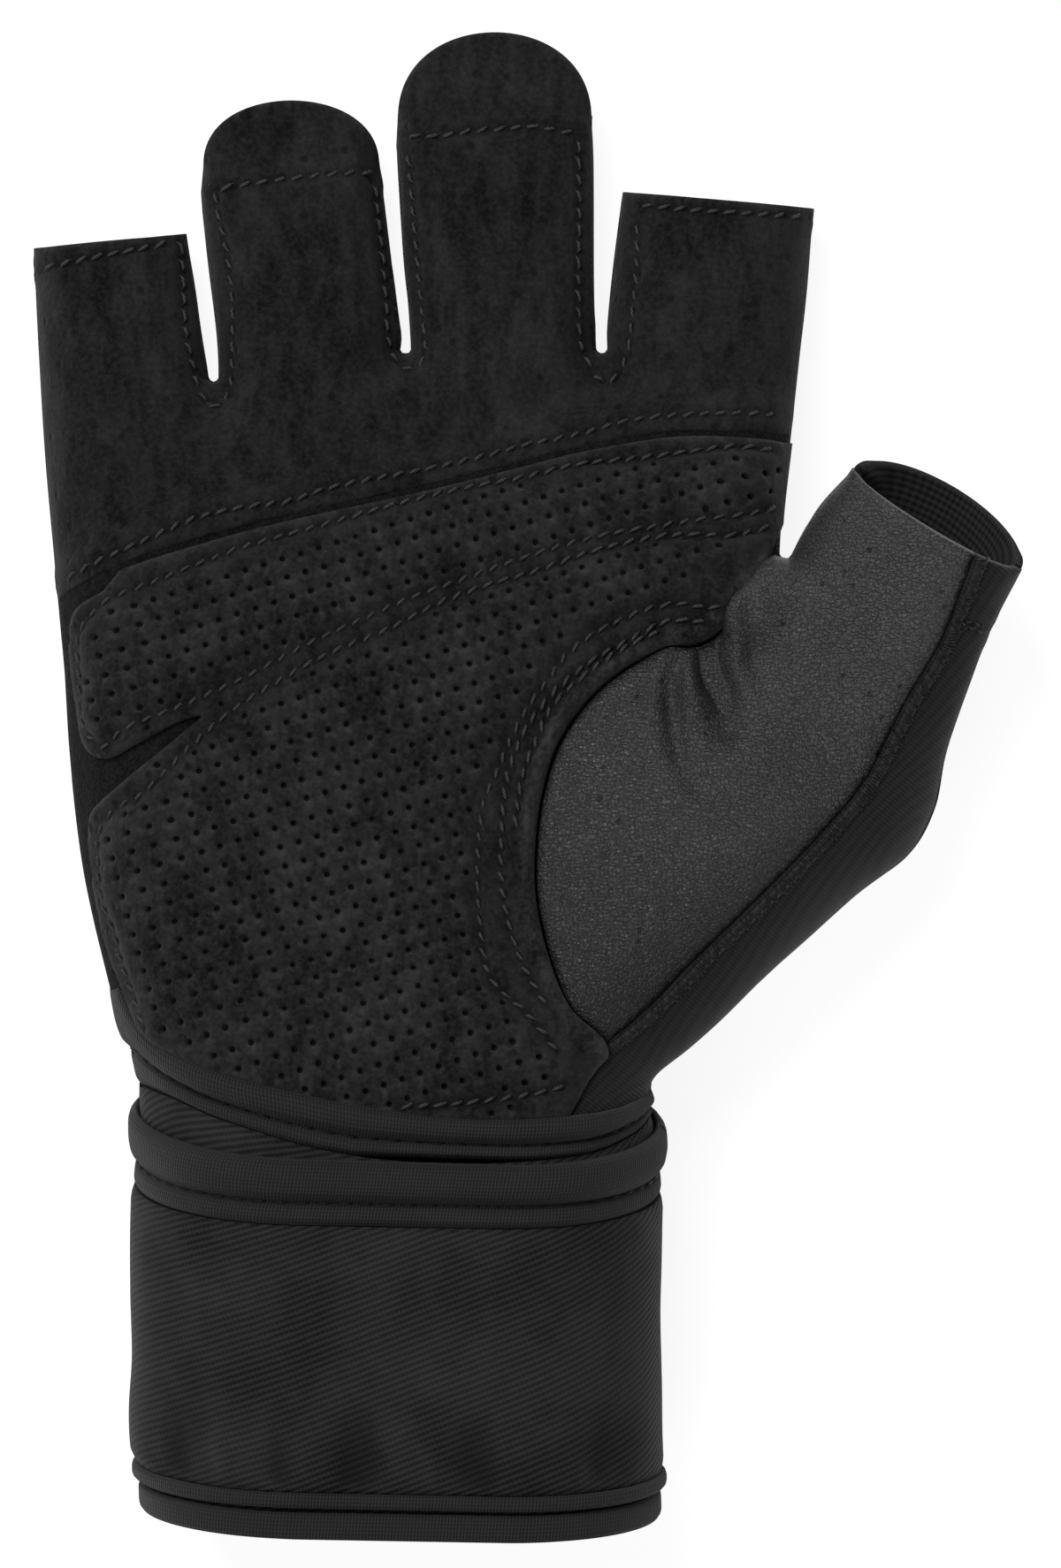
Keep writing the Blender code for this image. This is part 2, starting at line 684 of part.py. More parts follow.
def gusset_line(side):
    """The seam between the leather and the gusset, from the rim to the hole's low tip."""
    rim = thumb_rim(1)
    start = rim[0] + (rim[-1] - rim[0]) * GUSSET_RIM_SHARE
    place = rim[nearest_index(rim, start)]
    line = sampled(np.vstack((place, palm_points(GUSSET_SEAM))))
    return shifted(line, side * GAP / 2)


def leather_outline():
    hole = hole_line(1)
    seam = gusset_line(-1)
    low_end = palm_points(HOLE_EDGE)[-1]
    tip = nearest_index(hole, low_end)
    inwards = (hole[tip - 1] + seam[-2]) / 2 - low_end
    tip_point = low_end + inwards / np.linalg.norm(inwards) * GAP * 3
    rim = thumb_rim(1)
    stop = nearest_index(rim, seam[0])
    inner = SIDES[4]
    crotch = nearest_index(inner, INDEX_CROTCH)
    return np.vstack((hole[:tip], tip_point, seam[::-1][1:], rim[:stop][::-1],
                      inner[crotch + 1:-1][::-1]))


def gusset_outline():
    seam = gusset_line(1)
    hole = hole_line(1)
    tip = nearest_index(hole, palm_points(HOLE_EDGE)[-1])
    wrist = wrist_edge(1)
    wrist = wrist[wrist[:, 0] > hole[-1][0] + GAP]
    rim = thumb_rim(1)
    start = nearest_index(rim, seam[0])
    side = cut_line(RIGHT_LINE, wrist[-1], RIM_RIGHT)
    return np.vstack((seam[:-1], hole[tip + 1:], wrist[:-1], side, rim[start + 1:-1][::-1]))


def back_outline():
    wrist = wrist_edge(-1)
    parts = finger_tops(False)
    parts[0] = cut_line(LEFT_LINE, wrist[0], LEFT_LINE[-1])
    parts[-1] = SIDES[4]
    right = cut_line(RIGHT_LINE, RIM_RIGHT, wrist[-1])
    return np.vstack(parts + [thumb_rim(-1)[1:-1], right, wrist[1:-1][::-1]])


def pads_outline():
    """The overlay: two lobes joined at the channel, with the open slit on the left."""
    seam = suede_seam(-GAP * 3)
    lobe = smooth_line(palm_points(LOBE_EDGE))
    inner_side = finger_tops(False)[-1]
    right = cut_line(inner_side, seam[-1], on_side(inner_side, INDEX_CROTCH[1] + PAD_CORNER))
    seam = seam[(seam[:, 0] > lobe[0][0] + GAP * 4)][:-1]
    hole = hole_line(-1)[1:]
    wrist = wrist_edge(1)
    wrist = wrist[(wrist[:, 0] < hole[-1][0] - GAP) & (wrist[:, 0] > lobe[-1][0] + GAP * 4)]
    return np.vstack((lobe[::-1], seam, right, hole, wrist[::-1]))


def pad_rise(outline, channel):
    """The pads swell inside their edge seams and dip at the channel."""
    def rise(plan):
        edge = outline_gap(plan, outline)
        groove = np.linalg.norm(plan[:, None] - channel[None], axis=2).min(axis=1)
        room = np.minimum(edge, np.maximum(groove - PAD_EDGE * 0.3, 0.0))
        share = np.clip(room / PAD_EDGE, 0.0, 1.0)
        return PAD_BASE + PAD_THICKNESS + PAD_RISE * np.sin(share * math.pi / 2)
    return rise


BASE_TOP = -CLOTH_THICKNESS * 0.4
PAD_BASE = BASE_TOP + GAP * 1.5


def section_loop(count):
    """Shares across the wrist and faces for one turn, from the left side over the palm."""
    loop = []
    for face, order in ((1, 1), (-1, -1)):
        for i in range(count):
            angle = math.pi * i / count
            share = 0.5 - 0.5 * math.cos(angle)
            loop.append((share if order > 0 else 1.0 - share, face))
    return loop


SECTION_COUNT = 14
SECTION = section_loop(SECTION_COUNT)


def line_height(across, face, name):
    """The height of a line across the wrist, or of the lowest of the lines it stands for."""
    return min(band_plan([across], face, one)[0, 1] for one in LOWEST_OF.get(name, (name,)))


def turn_point(turn, upper, lower, share, offset):
    """A point between two wrist lines at a step round the section."""
    across, face = SECTION[turn % len(SECTION)]
    y = (line_height(across, face, upper) * (1 - share)
         + line_height(across, face, lower) * share)
    plan = across_wrist(np.array([across]), np.array([y]))
    if across in (0.0, 1.0):
        return (form_points(plan, 1, offset)[0] + form_points(plan, -1, offset)[0]) / 2
    return form_points(plan, face, offset)[0]


def lap_shift(turn):
    """How far the lapped end of the wrap has climbed over its own start."""
    return LAP_RISE * float(smoothstep(LAP_START - LAP_CLIMB, LAP_START, np.array(turn)))


def flatness(turn):
    """1 on the flattened back and 0 on the palm side."""
    share = (turn % len(SECTION)) / len(SECTION)
    return float(smoothstep(0.5, 0.57, np.array(share))
                 * (1 - smoothstep(0.93, 1.0, np.array(share))))


def band(name, turns, profile, finish, closed=False, lapped=False):
    """Sweeps a profile of (line, offset on the palm, offset on the back) round the wrist."""
    mesh = bmesh.new()
    rings = []
    for turn in turns:
        flat = flatness(turn)
        shift = lap_shift(turn) if lapped else 0.0
        ring = []
        for upper, lower, share, puffed, pressed in profile:
            offset = puffed * (1 - flat) + pressed * flat + shift
            ring.append(mesh.verts.new(turn_point(turn, upper, lower, share, offset)))
        rings.append(ring)
    pairs = list(zip(rings, rings[1:] + rings[:1])) if closed else list(zip(rings, rings[1:]))
    for one, two in pairs:
        for i in range(len(profile)):
            j = (i + 1) % len(profile)
            mesh.faces.new((one[i], one[j], two[j], two[i]))
    if not closed:
        mesh.faces.new(rings[0])
        mesh.faces.new(rings[-1][::-1])
    bmesh.ops.triangulate(mesh, faces=mesh.faces)
    bmesh.ops.recalc_face_normals(mesh, faces=mesh.faces)
    return add_part(name, mesh, finish)


def strip_profile(lines, outside, inside):
    """A flat cloth between the first and the last line, with a row on each of them."""
    outer = [(line, line, 0.0, outside, outside) for line in lines]
    inner = [(line, line, 0.0, inside, inside) for line in reversed(lines)]
    return outer + inner


def binding_profile(upper, lower, base, puff, flat):
    """A rolled tape: a round top edge and a thin stitched flange below it."""
    outer = [(upper, lower, share, base + puff * rise, base + flat * min(rise / 0.8, 1.0))
             for share, rise in ROLLED_TAPE]
    inner = [(upper, lower, 1.0, base, base), (upper, lower, 0.0, base, base)]
    return outer + inner


def make_wrist():
    whole = range(len(SECTION))
    wound = range(LAP_START - len(SECTION), LAP_END + 1)
    band("cuff_binding_top", whole,
         binding_profile("cuff_top", "cuff_flange", -TWILL_THICKNESS, BINDING_PUFF,
                         BINDING_FLAT + TWILL_THICKNESS),
         "binding_knit", closed=True)
    band("wrist_cuff", whole,
         strip_profile(("cuff_body", "cuff_shoulder", "wrap_flange", "wrap_middle",
                        "wrap_hem", "cuff_hem"), 0.0, -TWILL_THICKNESS),
         "twill", closed=True)
    band("cuff_binding_bottom", whole,
         strip_profile(("cuff_foot", "cuff_bottom"), GAP, -TWILL_THICKNESS),
         "binding_knit", closed=True)
    band("wrap_binding_top", wound,
         binding_profile("wrap_top", "wrap_flange", GAP, BINDING_PUFF, BINDING_FLAT),
         "binding_knit", lapped=True)
    band("wrist_wrap", wound,
         strip_profile(("wrap_body", "wrap_middle", "wrap_hem"), GAP + TWILL_THICKNESS, GAP),
         "twill", lapped=True)
    band("wrap_binding_bottom", wound,
         strip_profile(("wrap_foot", "wrap_bottom"), GAP + BINDING_FLAT, GAP),
         "binding_knit", lapped=True)
    inside = GAP + TWILL_THICKNESS + GAP
    band("wrap_patch", range(LAP_START + 1, LAP_END),
         strip_profile(("wrap_body", "wrap_middle", "wrap_hem"), inside + PATCH_THICKNESS,
                       inside),
         "patch")


def add_lower_lines():
    """Each cloth starts a gap below the binding over it."""
    for name, above in (("cuff_body", "cuff_flange"), ("cuff_waist", "cuff_body"),
                        ("wrap_body", "wrap_flange"), ("cuff_foot", "cuff_hem"),
                        ("wrap_foot", "wrap_hem")):
        left, right, drop = BAND_LINES[above]
        BAND_LINES[name] = (left - GAP / CUFF_LENGTH, right - GAP / CUFF_LENGTH, drop)
    ends = zip(BAND_LINES["wrap_flange"], BAND_LINES["wrap_hem"])
    BAND_LINES["wrap_middle"] = [(above + below) / 2 for above, below in ends]


def make_body():
    sheet_panel("palm_suede", suede_outline(), 1, 0.0, -SUEDE_THICKNESS, "suede")
    sheet_panel("palm_base", base_outline(), 1, BASE_TOP, BASE_TOP - BASE_THICKNESS,
                "base_cloth")
    pads = pads_outline()
    channel = smooth_line(palm_points(CHANNEL))
    sheet_panel("palm_pads", pads, 1, pad_rise(pads, channel), PAD_BASE,
                "perforated_suede", channel)
    sheet_panel("thumb_leather", leather_outline(), 1, 0.0, -LEATHER_THICKNESS, "leather")
    sheet_panel("thumb_gusset", gusset_outline(), 1, 0.0, -CLOTH_THICKNESS, "rib_knit")
    sheet_panel("back_cloth", back_outline(), -1, 0.0, -CLOTH_THICKNESS, "rib_knit")


def make_materials():
    for name, (colour, roughness) in FINISHES.items():
        material = bpy.data.materials.new(name)
        material.use_nodes = True
        shader = material.node_tree.nodes["Principled BSDF"]
        shader.inputs["Base Color"].default_value = colour
        shader.inputs["Roughness"].default_value = roughness
        shader.inputs["Metallic"].default_value = 0.0
        MATERIALS[name] = material


def centre_on_origin():
    """Moves the whole glove so that its box stands centred on the origin."""
    corners = np.array([v.co for part in PARTS.objects for v in part.data.vertices])
    low, high = corners.min(axis=0), corners.max(axis=0)
    shift = np.array(((low[0] + high[0]) / 2, (low[1] + high[1]) / 2, low[2]))
    for part in PARTS.objects:
        for vertex in part.data.vertices:
            vertex.co = np.array(vertex.co) - shift


for old in list(bpy.data.objects):
    bpy.data.objects.remove(old)
PARTS = bpy.data.collections.new("weightlifting_glove")
bpy.context.scene.collection.children.link(PARTS)
MATERIALS = {}
INNER_POINTS = inner_points()
make_materials()
add_lower_lines()
make_body()
make_wrist()
centre_on_origin()
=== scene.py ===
import math

import bmesh
import bpy
import numpy as np
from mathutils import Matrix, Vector, noise
from mathutils.geometry import delaunay_2d_cdt


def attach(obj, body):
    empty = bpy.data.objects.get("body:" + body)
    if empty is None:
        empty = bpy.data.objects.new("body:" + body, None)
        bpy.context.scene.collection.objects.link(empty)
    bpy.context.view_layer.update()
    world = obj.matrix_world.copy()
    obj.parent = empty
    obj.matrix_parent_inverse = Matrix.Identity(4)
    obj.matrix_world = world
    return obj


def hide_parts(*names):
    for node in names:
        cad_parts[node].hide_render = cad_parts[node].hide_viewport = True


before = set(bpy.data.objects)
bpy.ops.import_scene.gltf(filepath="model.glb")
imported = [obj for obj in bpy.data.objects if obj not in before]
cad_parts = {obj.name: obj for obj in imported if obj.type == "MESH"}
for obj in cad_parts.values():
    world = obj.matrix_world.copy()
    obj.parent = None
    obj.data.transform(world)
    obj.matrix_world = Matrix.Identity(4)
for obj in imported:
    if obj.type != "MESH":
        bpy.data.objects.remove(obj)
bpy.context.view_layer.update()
bpy.ops.object.select_all(action="DESELECT")

# The form's sizes and tables, as in the part
CENTRE = np.array((0.000431, -0.000219, -0.00015))
PALM_WIDTH = 0.096
PALM_LENGTH = 0.0937
PALM_HEIGHT = 0.030
FINGER_HEIGHT = 0.0165
FINGERTIP_LIFT = 0.002
BALL_RISE = 0.007
THUMB_WIDTH = 0.0252
THUMB_DEPTH = 0.020
THUMB_LENGTH = 0.031
THUMB_ANGLE = math.radians(59)
THUMB_RISE = math.radians(20)
THUMB_ROOT_HEIGHT = 0.019
THUMB_RIM_SLANT = 0.0014
CROTCH_TO_TIP = 0.0144
CROTCH_TO_AXIS = 0.0141
THUMB_EDGE_RADIUS = 0.0116
CUFF_MIDDLE = -0.0012
GUSSET_FOOT_WIDTH = 0.005
WRIST_WIDTH = 0.0662
WRIST_HEIGHT = 0.041
CUFF_LENGTH = 0.0575
SUEDE_THICKNESS = 0.0013
CLOTH_THICKNESS = 0.0012
BASE_THICKNESS = 0.001
PAD_THICKNESS = 0.0012
PAD_RISE = 0.0016
PAD_EDGE = 0.005
TWILL_THICKNESS = 0.0012
PATCH_THICKNESS = 0.001
BINDING_PUFF = 0.0029
BINDING_FLAT = 0.0015
TAB_RISE = 0.004
SLIT_RADIUS = 0.0008
EDGE_RADIUS = 0.020
SIDE_REACH = 0.020
TAB_MARGIN = 0.002
GAP = 0.0003
SIDE_OVERLAP = 0.0001
CLOTH_GAP = 0.00006
SIDE_JOIN = 0.14
SEAM_LEVEL = 0.48
TAB_FLATNESS = 0.2
THUMB_ALONG = (-0.75, 0.6)
THUMB_SIDE = (-0.85, -0.42)
SECTION_COUNT = 14
LAP_START = 18
LAP_END = 25
LAP_CLIMB = 3
LAP_RISE = TWILL_THICKNESS + PATCH_THICKNESS + 2 * GAP
WRIST_LOW = LAP_RISE + GAP + BINDING_FLAT
BASE_TOP = -CLOTH_THICKNESS * 0.4
PAD_BASE = BASE_TOP + GAP * 1.5

SECTIONS = (
    # place, wrist low, finger low, wrist top, palm top, finger top, edge radius
    (-1.06, 1.0, 0.0, 1.00, 0.00, 0.00, 1.00),
    (-0.70, 1.0, 0.0, 0.97, 0.00, 0.00, 1.00),
    (-0.47, 1.0, 0.0, 0.98, 0.00, 0.00, 1.00),
    (-0.36, 1.0, 0.0, 0.70, 0.36, 0.00, 0.95),
    (-0.24, 0.42, 0.0, 0.20, 0.92, 0.00, 0.85),
    (-0.12, 0.0, 0.0, 0.00, 1.12, 0.00, 0.75),
    (0.10, 0.0, 0.0, 0.00, 1.00, 0.00, 0.60),
    (0.36, 0.0, 0.0, 0.00, 0.80, 0.00, 0.50),
    (0.54, 0.0, 0.0, 0.00, 0.00, 1.18, 0.41),
    (0.72, 0.0, 0.5, 0.00, 0.00, 1.05, 0.40),
    (0.95, 0.0, 1.0, 0.00, 0.00, 1.00, 0.40),
)
LEFT_SIDE = (
    # palm width, wrist width, y
    (-0.169, -0.487, -1.060),
    (-0.169, -0.500, -0.720),
    (-0.169, -0.500, -0.470),
    (-0.345, -0.290, -0.330),
    (-0.581, 0.000, -0.180),
    (-0.598, 0.000, -0.087),
    (-0.611, 0.000, 0.032),
    (-0.619, 0.000, 0.154),
    (-0.633, 0.000, 0.313),
    (-0.645, 0.000, 0.447),
    (-0.654, 0.000, 0.593),
    (-0.661, 0.000, 0.740),
)
SLITS = (
    # the side going down, the centre of the round bottom, the side going back up
    (((-0.456, 0.760), (-0.452, 0.736), (-0.430, 0.591)), (-0.418, 0.564),
     ((-0.413, 0.614), (-0.427, 0.729), (-0.435, 0.818))),
    (((-0.192, 0.833), (-0.1714, 0.661), (-0.166, 0.622)), (-0.159, 0.602),
     ((-0.154, 0.661), (-0.161, 0.731), (-0.171, 0.896))),
    (((0.094, 0.923), (0.095, 0.686), (0.097, 0.634)), (0.105, 0.603),
     ((0.113, 0.634), (0.121, 0.717), (0.134, 0.818))),
)
THUMB_CROTCH = (((0.391, 0.795), (0.383, 0.685), (0.373, 0.593), (0.361, 0.481),
                 (0.349, 0.379)), (0.353, 0.319), ())
BALL_SIDE = (
    # palm width, wrist width, y
    (0.570, 0.000, 0.045),
    (0.554, 0.000, -0.035),
    (0.518, 0.000, -0.099),
    (0.443, 0.000, -0.157),
    (0.346, 0.000, -0.247),
    (0.229, 0.000, -0.359),
    (0.096, 0.110, -0.412),
    (-0.169, 0.500, -0.470),
    (-0.169, 0.490, -0.720),
    (-0.169, 0.502, -1.060),
)
TABS = (
    # left x, right x, end y, length share
    (-0.4335, -0.1925, 0.838, 0.106),
    (-0.1715, 0.094, 0.895, 0.143),
)
SUEDE_EDGE = ((-0.64, 0.250), (-0.568, 0.291), (-0.476, 0.326), (-0.324, 0.368),
              (-0.113, 0.416), (0.077, 0.464), (0.192, 0.485), (0.282, 0.485), (0.362, 0.480))
HOLE_EDGE = ((0.345, 0.304), (0.301, 0.249), (0.249, 0.198), (0.181, 0.182), (0.107, 0.135),
             (0.052, 0.064), (0.026, -0.016), (0.017, -0.096), (0.019, -0.163),
             (0.035, -0.236), (0.063, -0.307), (0.111, -0.359))
GUSSET_SEAM = ((0.564, 0.201), (0.515, 0.113), (0.465, 0.012), (0.411, -0.058),
               (0.346, -0.129), (0.237, -0.240), (0.164, -0.315), (0.111, -0.359))
GUSSET_RIM_SHARE = 0.76
LOBE_EDGE = ((-0.560, 0.264), (-0.600, 0.235), (-0.611, 0.185), (-0.602, 0.105),
             (-0.589, 0.055), (-0.560, 0.034), (-0.519, 0.054), (-0.464, 0.084),
             (-0.432, 0.092), (-0.456, 0.070), (-0.496, 0.036), (-0.543, -0.005),
             (-0.577, -0.040), (-0.583, -0.081), (-0.576, -0.157), (-0.560, -0.230),
             (-0.530, -0.300))
BAND_LINES = {
    # name: left y, right y, drop
    "cuff_top": (-0.429, -0.650, 0.36),
    "cuff_flange": (-0.662, -0.706, 0.30),
    "wrap_top": (-0.708, -0.742, 0.32),
    "wrap_flange": (-0.880, -0.900, 0.26),
    "wrap_hem": (-1.495, -1.518, 0.20),
    "wrap_bottom": (-1.530, -1.553, 0.20),
    "cuff_hem": (-1.540, -1.560, 0.20),
    "cuff_bottom": (-1.600, -1.620, 0.20),
}

# The cuff's rolled tape across the palm side, read off the photograph in its pixels
PALM_LINES = {
    "cuff_top": ((131, 1113), (148, 1141), (174, 1170), (212, 1192), (250, 1208), (289, 1220),
                 (340, 1232), (391, 1243), (442, 1252), (500, 1259), (571, 1262), (632, 1260),
                 (679, 1255), (705, 1248), (732, 1234), (746, 1224)),
    "cuff_flange": ((159, 1230), (194, 1242), (237, 1260), (289, 1277), (340, 1292),
                    (391, 1303), (442, 1310), (500, 1313), (571, 1313), (632, 1308),
                    (679, 1300), (705, 1290), (732, 1272), (746, 1252)),
}

# Fineness of the cloth: spacing on the flat, along edges, and inside the walls
FINE = 0.00075
EDGE_STEP = 0.0007
EDGE_TURN = math.radians(7)
COARSE = 0.0042
FINE_RINGS = tuple(1.0 - math.cos(math.radians(a)) for a in (5, 10, 15, 20, 25, 30, 36))
COARSE_RINGS = (0.076, 0.293, 0.617, 1.0)
CHUNK = 4000

# Places of the stitched rows, read off the photograph in its pixels
PIXEL = PALM_WIDTH / 840
PICTURE_CENTRE = (592.0, 886.5)
FINGER_ROWS = {
    "little_top": ((42, 304), (115, 289), (191, 274)),
    "first_slit": ((203, 271), (205, 291), (207, 329), (210, 375), (218, 413), (226, 444),
                   (243, 460), (257, 446), (261, 415), (261, 350), (258, 306), (255, 281),
                   (245, 239), (244, 214)),
    "ring_top": ((247, 213), (306, 204), (349, 199), (391, 195), (414, 194), (425, 200)),
    "second_slit": ((427, 206), (431, 240), (435, 277), (434, 313), (437, 344), (439, 381),
                    (451, 407), (461, 416), (475, 410), (480, 391), (477, 362), (473, 325),
                    (467, 249), (461, 172)),
    "middle_top": ((459, 153), (497, 153), (536, 147), (574, 145), (600, 142), (650, 150)),
    "third_slit": ((654, 156), (655, 230), (654, 310), (657, 383), (667, 409), (684, 427),
                   (701, 412), (711, 386), (715, 352), (719, 306), (719, 249)),
    "index_top": ((721, 231), (772, 236), (830, 240), (887, 243), (914, 245)),
}
SUEDE_ROW = ((73, 657), (116, 634), (173, 608), (214, 590), (268, 576), (325, 568), (364, 555),
             (421, 543), (478, 532), (536, 519), (600, 502), (657, 490), (715, 475),
             (772, 470), (830, 467), (880, 469))
UPPER_PAD_ROW = ((870, 511), (830, 508), (791, 513), (715, 522), (657, 528), (600, 541),
                 (536, 553), (459, 570), (383, 591), (325, 607), (268, 624), (214, 644),
                 (173, 661), (135, 676), (119, 687), (102, 707), (95, 721), (96, 755),
                 (97, 795), (99, 816), (106, 832), (127, 845), (145, 825), (214, 796),
                 (275, 769), (344, 733), (402, 706), (459, 681), (517, 660), (600, 631),
                 (676, 610), (753, 597), (830, 586), (876, 579))
LOWER_PAD_ROW = ((868, 601), (830, 609), (753, 610), (676, 626), (600, 651), (555, 664),
                 (497, 685), (440, 714), (383, 737), (337, 760), (268, 802), (221, 841),
                 (198, 864), (163, 900), (138, 914), (124, 931), (117, 949), (119, 976),
                 (122, 1010), (129, 1036), (136, 1056), (145, 1091), (159, 1128),
                 (172, 1160))
WRIST_ROW = ((452, 1250), (520, 1246), (597, 1236), (636, 1226))
HOLE_ROWS = (
    ((838, 690), (798, 691), (770, 687), (733, 693), (681, 715), (642, 743), (621, 771),
     (599, 800), (580, 834), (561, 878), (547, 910), (541, 965), (541, 1015), (545, 1064),
     (551, 1099), (566, 1122), (600, 1152), (628, 1190)),
    ((800, 708), (762, 706), (733, 717), (699, 735), (673, 749), (636, 778), (610, 806),
     (592, 834), (574, 884), (568, 946), (568, 1003), (578, 1053), (593, 1095),
     (618, 1140)),
    ((749, 719), (712, 735), (668, 764), (627, 800), (608, 839), (594, 872), (587, 905),
     (583, 940)),
)
FOLDS = (
    # points of the crease, depth, half width
    (((776, 728), (762, 766), (760, 802), (768, 856), (786, 888)), 0.0013, 0.0012),
    (((803, 720), (801, 742), (806, 766), (816, 784), (824, 824)), 0.0034, 0.0017),
    (((845, 700), (850, 740), (858, 790)), 0.0007, 0.0016),
    (((792, 900), (840, 905), (900, 880)), 0.0004, 0.0022),
)
HEM_ROW = ((1078, 702), (1088, 707), (1100, 710), (1112, 711))
LATTICE = ((20.7, -6.5), (5.8, 21.3))
LATTICE_START = (392, 985)

STITCH_PITCH = 0.0021
STITCH_WIDTH = 0.00056
HOLE_RADIUS = 0.00048
HOLE_LIP = 0.00088
HOLE_FLOOR = 0.00034
HOLE_DEPTH = 0.0008
HOLE_MARGIN = 0.0008
SEAM_MARGIN = 0.0010
STRAY = 0.002
MARK_SEEN = 0.05
CORE_WIDTH = 0.80
CORE_HEIGHT = 0.42
RIBS_SEEN = 0.011
PAD_CORNER = 0.0045
TAPE_COVER = 0.0008
LEATHER_LAP = 0.0013
LEATHER_RISE = 0.0027
SUEDE_WAVES = (
    # distance from the suede's lower edge, half width, rise
    (0.0075, 0.0028, -0.0009), (0.0022, 0.0016, 0.0004),
)
# Uneven heights: height, size of a lump, seed
SUEDE_LUMPS = ((0.0005, 0.014, 3.1), (0.00022, 0.004, 7.7))
PAD_LUMPS = ((0.0003, 0.012, 4.4), (0.00012, 0.0035, 8.1))
LEATHER_LUMPS = ((0.0004, 0.013, 6.4), (0.00012, 0.005, 1.9))
KNIT_LUMPS = ((0.0003, 0.012, 2.9),)
BASE_LUMPS = ((0.0001, 0.0012, 1.3),)
HOLE_UNEVEN = (0.006, 2.2)
HEM_RISE = 0.0004
HEM_STEP = (0.0046, 0.0054)
# Painted light and shade on the leather: painted shade at its foot and by the crotch, painted
# light on the thumb
FOOT_PAINTED_SHADE = 0.74
FOOT_FADE = (-0.031, 0.004)
CROTCH_PLACE = (835, 720)
CROTCH_PAINTED_SHADE = 0.30
CROTCH_REACH = 0.007
TUBE_PAINTED_LIGHT = 0.80

# Round the wrist: steps of the section run over the palm side and back under
BINDING_RISE = (
    # share of the way down, rise
    (0.00, 0.20), (0.04, 0.58), (0.11, 0.86), (0.24, 1.00), (0.42, 0.98), (0.54, 0.78),
    (0.61, 0.42), (0.66, 0.15), (0.71, 0.42), (0.80, 0.55), (0.93, 0.50), (1.00, 0.16),
)
GATHERS = (
    # x across the picture, half width, depth
    (214, 17, 0.0008), (246, 11, 0.0004), (322, 19, 0.0007), (356, 11, 0.0004),
    (398, 20, 0.0010), (428, 12, 0.0005), (510, 18, 0.0005), (548, 22, 0.0008),
    (606, 18, 0.0004), (668, 18, 0.0004),
)
GATHER_TOP = 0.0150
FOLD_LIMIT = 0.0009
KEPT_ABOVE = {"cuff_flange": "wrap_top"}
TAPE_ROWS = 36
TAPE_SEAM = 0.66
CUFF_TAPE = (-TWILL_THICKNESS, BINDING_PUFF, BINDING_FLAT + TWILL_THICKNESS, False)
WRAP_TAPE = (GAP, BINDING_PUFF, BINDING_FLAT, True)
TURN_STEP = 0.0008

# Looks and the studio
TWILL_SLANT = math.radians(22)
TWILL_PITCH = 0.00080
FLOAT_PITCH = 0.00062
FLOOR_GREY = 0.30
FLOOR_GLOW = 0.88
AIR_LIGHT = 0.24
LIGHTS = (
    # name, place, size, watts
    ("light_above", (-0.45, 0.64, 1.32), (0.8, 0.8), 14.8),
    ("light_low", (-0.3, -0.9, 1.2), (0.7, 0.6), 3.6),
)
CAMERA_HEIGHT = 4.0
CAMERA_PLANE = 0.018
PICTURE_SIZE = (1200, 1774)
SENSOR = 0.024


def smoothstep(low, high, values):
    """0 up to the low value, 1 from the high one, and a soft rise between."""
    share = np.clip((values - low) / (high - low), 0.0, 1.0)
    return share * share * (3.0 - 2.0 * share)


def bell(away, width):
    """A smooth bump, 1 in the middle and near 0 two widths away."""
    return np.exp(-(away / width) ** 2)


def unit(vectors):
    return vectors / np.maximum(np.linalg.norm(vectors, axis=-1, keepdims=True), 1e-12)


def curve_table(places, table):
    """Reads a table's columns at the places on smooth curves through its rows."""
    rows = np.array(table, dtype=float)
    keys = rows[:, 0]
    places = np.clip(places, keys[0], keys[-1])
    index = np.clip(np.searchsorted(keys, places) - 1, 0, len(keys) - 2)
    span = keys[index + 1] - keys[index]
    share = ((places - keys[index]) / span)[:, None]
    slopes = np.gradient(rows[:, 1:], keys, axis=0)
    start = rows[index, 1:]
    rise = rows[index + 1, 1:] - start
    start_slope = slopes[index] * span[:, None]
    end_slope = slopes[index + 1] * span[:, None]
    square = share * share
    cube = square * share
    return (start + start_slope * (cube - 2 * square + share)
            + rise * (3 * square - 2 * cube) + end_slope * (cube - square))


def palm_points(shares):
    """Plan points from shares of the palm's width and length."""
    return np.array([(x * PALM_WIDTH, y * PALM_LENGTH) for x, y in shares])


def mixed_points(rows):
    """Plan points whose x is a share of the palm's width and one of the wrist's."""
    return np.array([(palm * PALM_WIDTH + wrist * WRIST_WIDTH, y * PALM_LENGTH)
                     for palm, wrist, y in rows])


def from_picture(points):
    """Plan places of points read off the photograph."""
    x, y = np.array(points, dtype=float).T
    return np.column_stack(((x - PICTURE_CENTRE[0]) * PIXEL, (PICTURE_CENTRE[1] - y) * PIXEL))


def smooth_line(points, step=EDGE_STEP):
    """A smooth line through the points, with a point about every step."""
    points = np.asarray(points, dtype=float)
    ends = np.vstack((2 * points[0] - points[1], points, 2 * points[-1] - points[-2]))
    fine = []
    for i in range(len(points) - 1):
        a, b, c, d = ends[i:i + 4]
        count = max(1, math.ceil(np.linalg.norm(c - b) / step))
        t = (np.arange(count) / count)[:, None]
        fine.append(0.5 * (2 * b + (c - a) * t + (2 * a - 5 * b + 4 * c - d) * t * t
                           + (3 * b - a - 3 * c + d) * t ** 3))
    return np.vstack(fine + [points[-1:]])


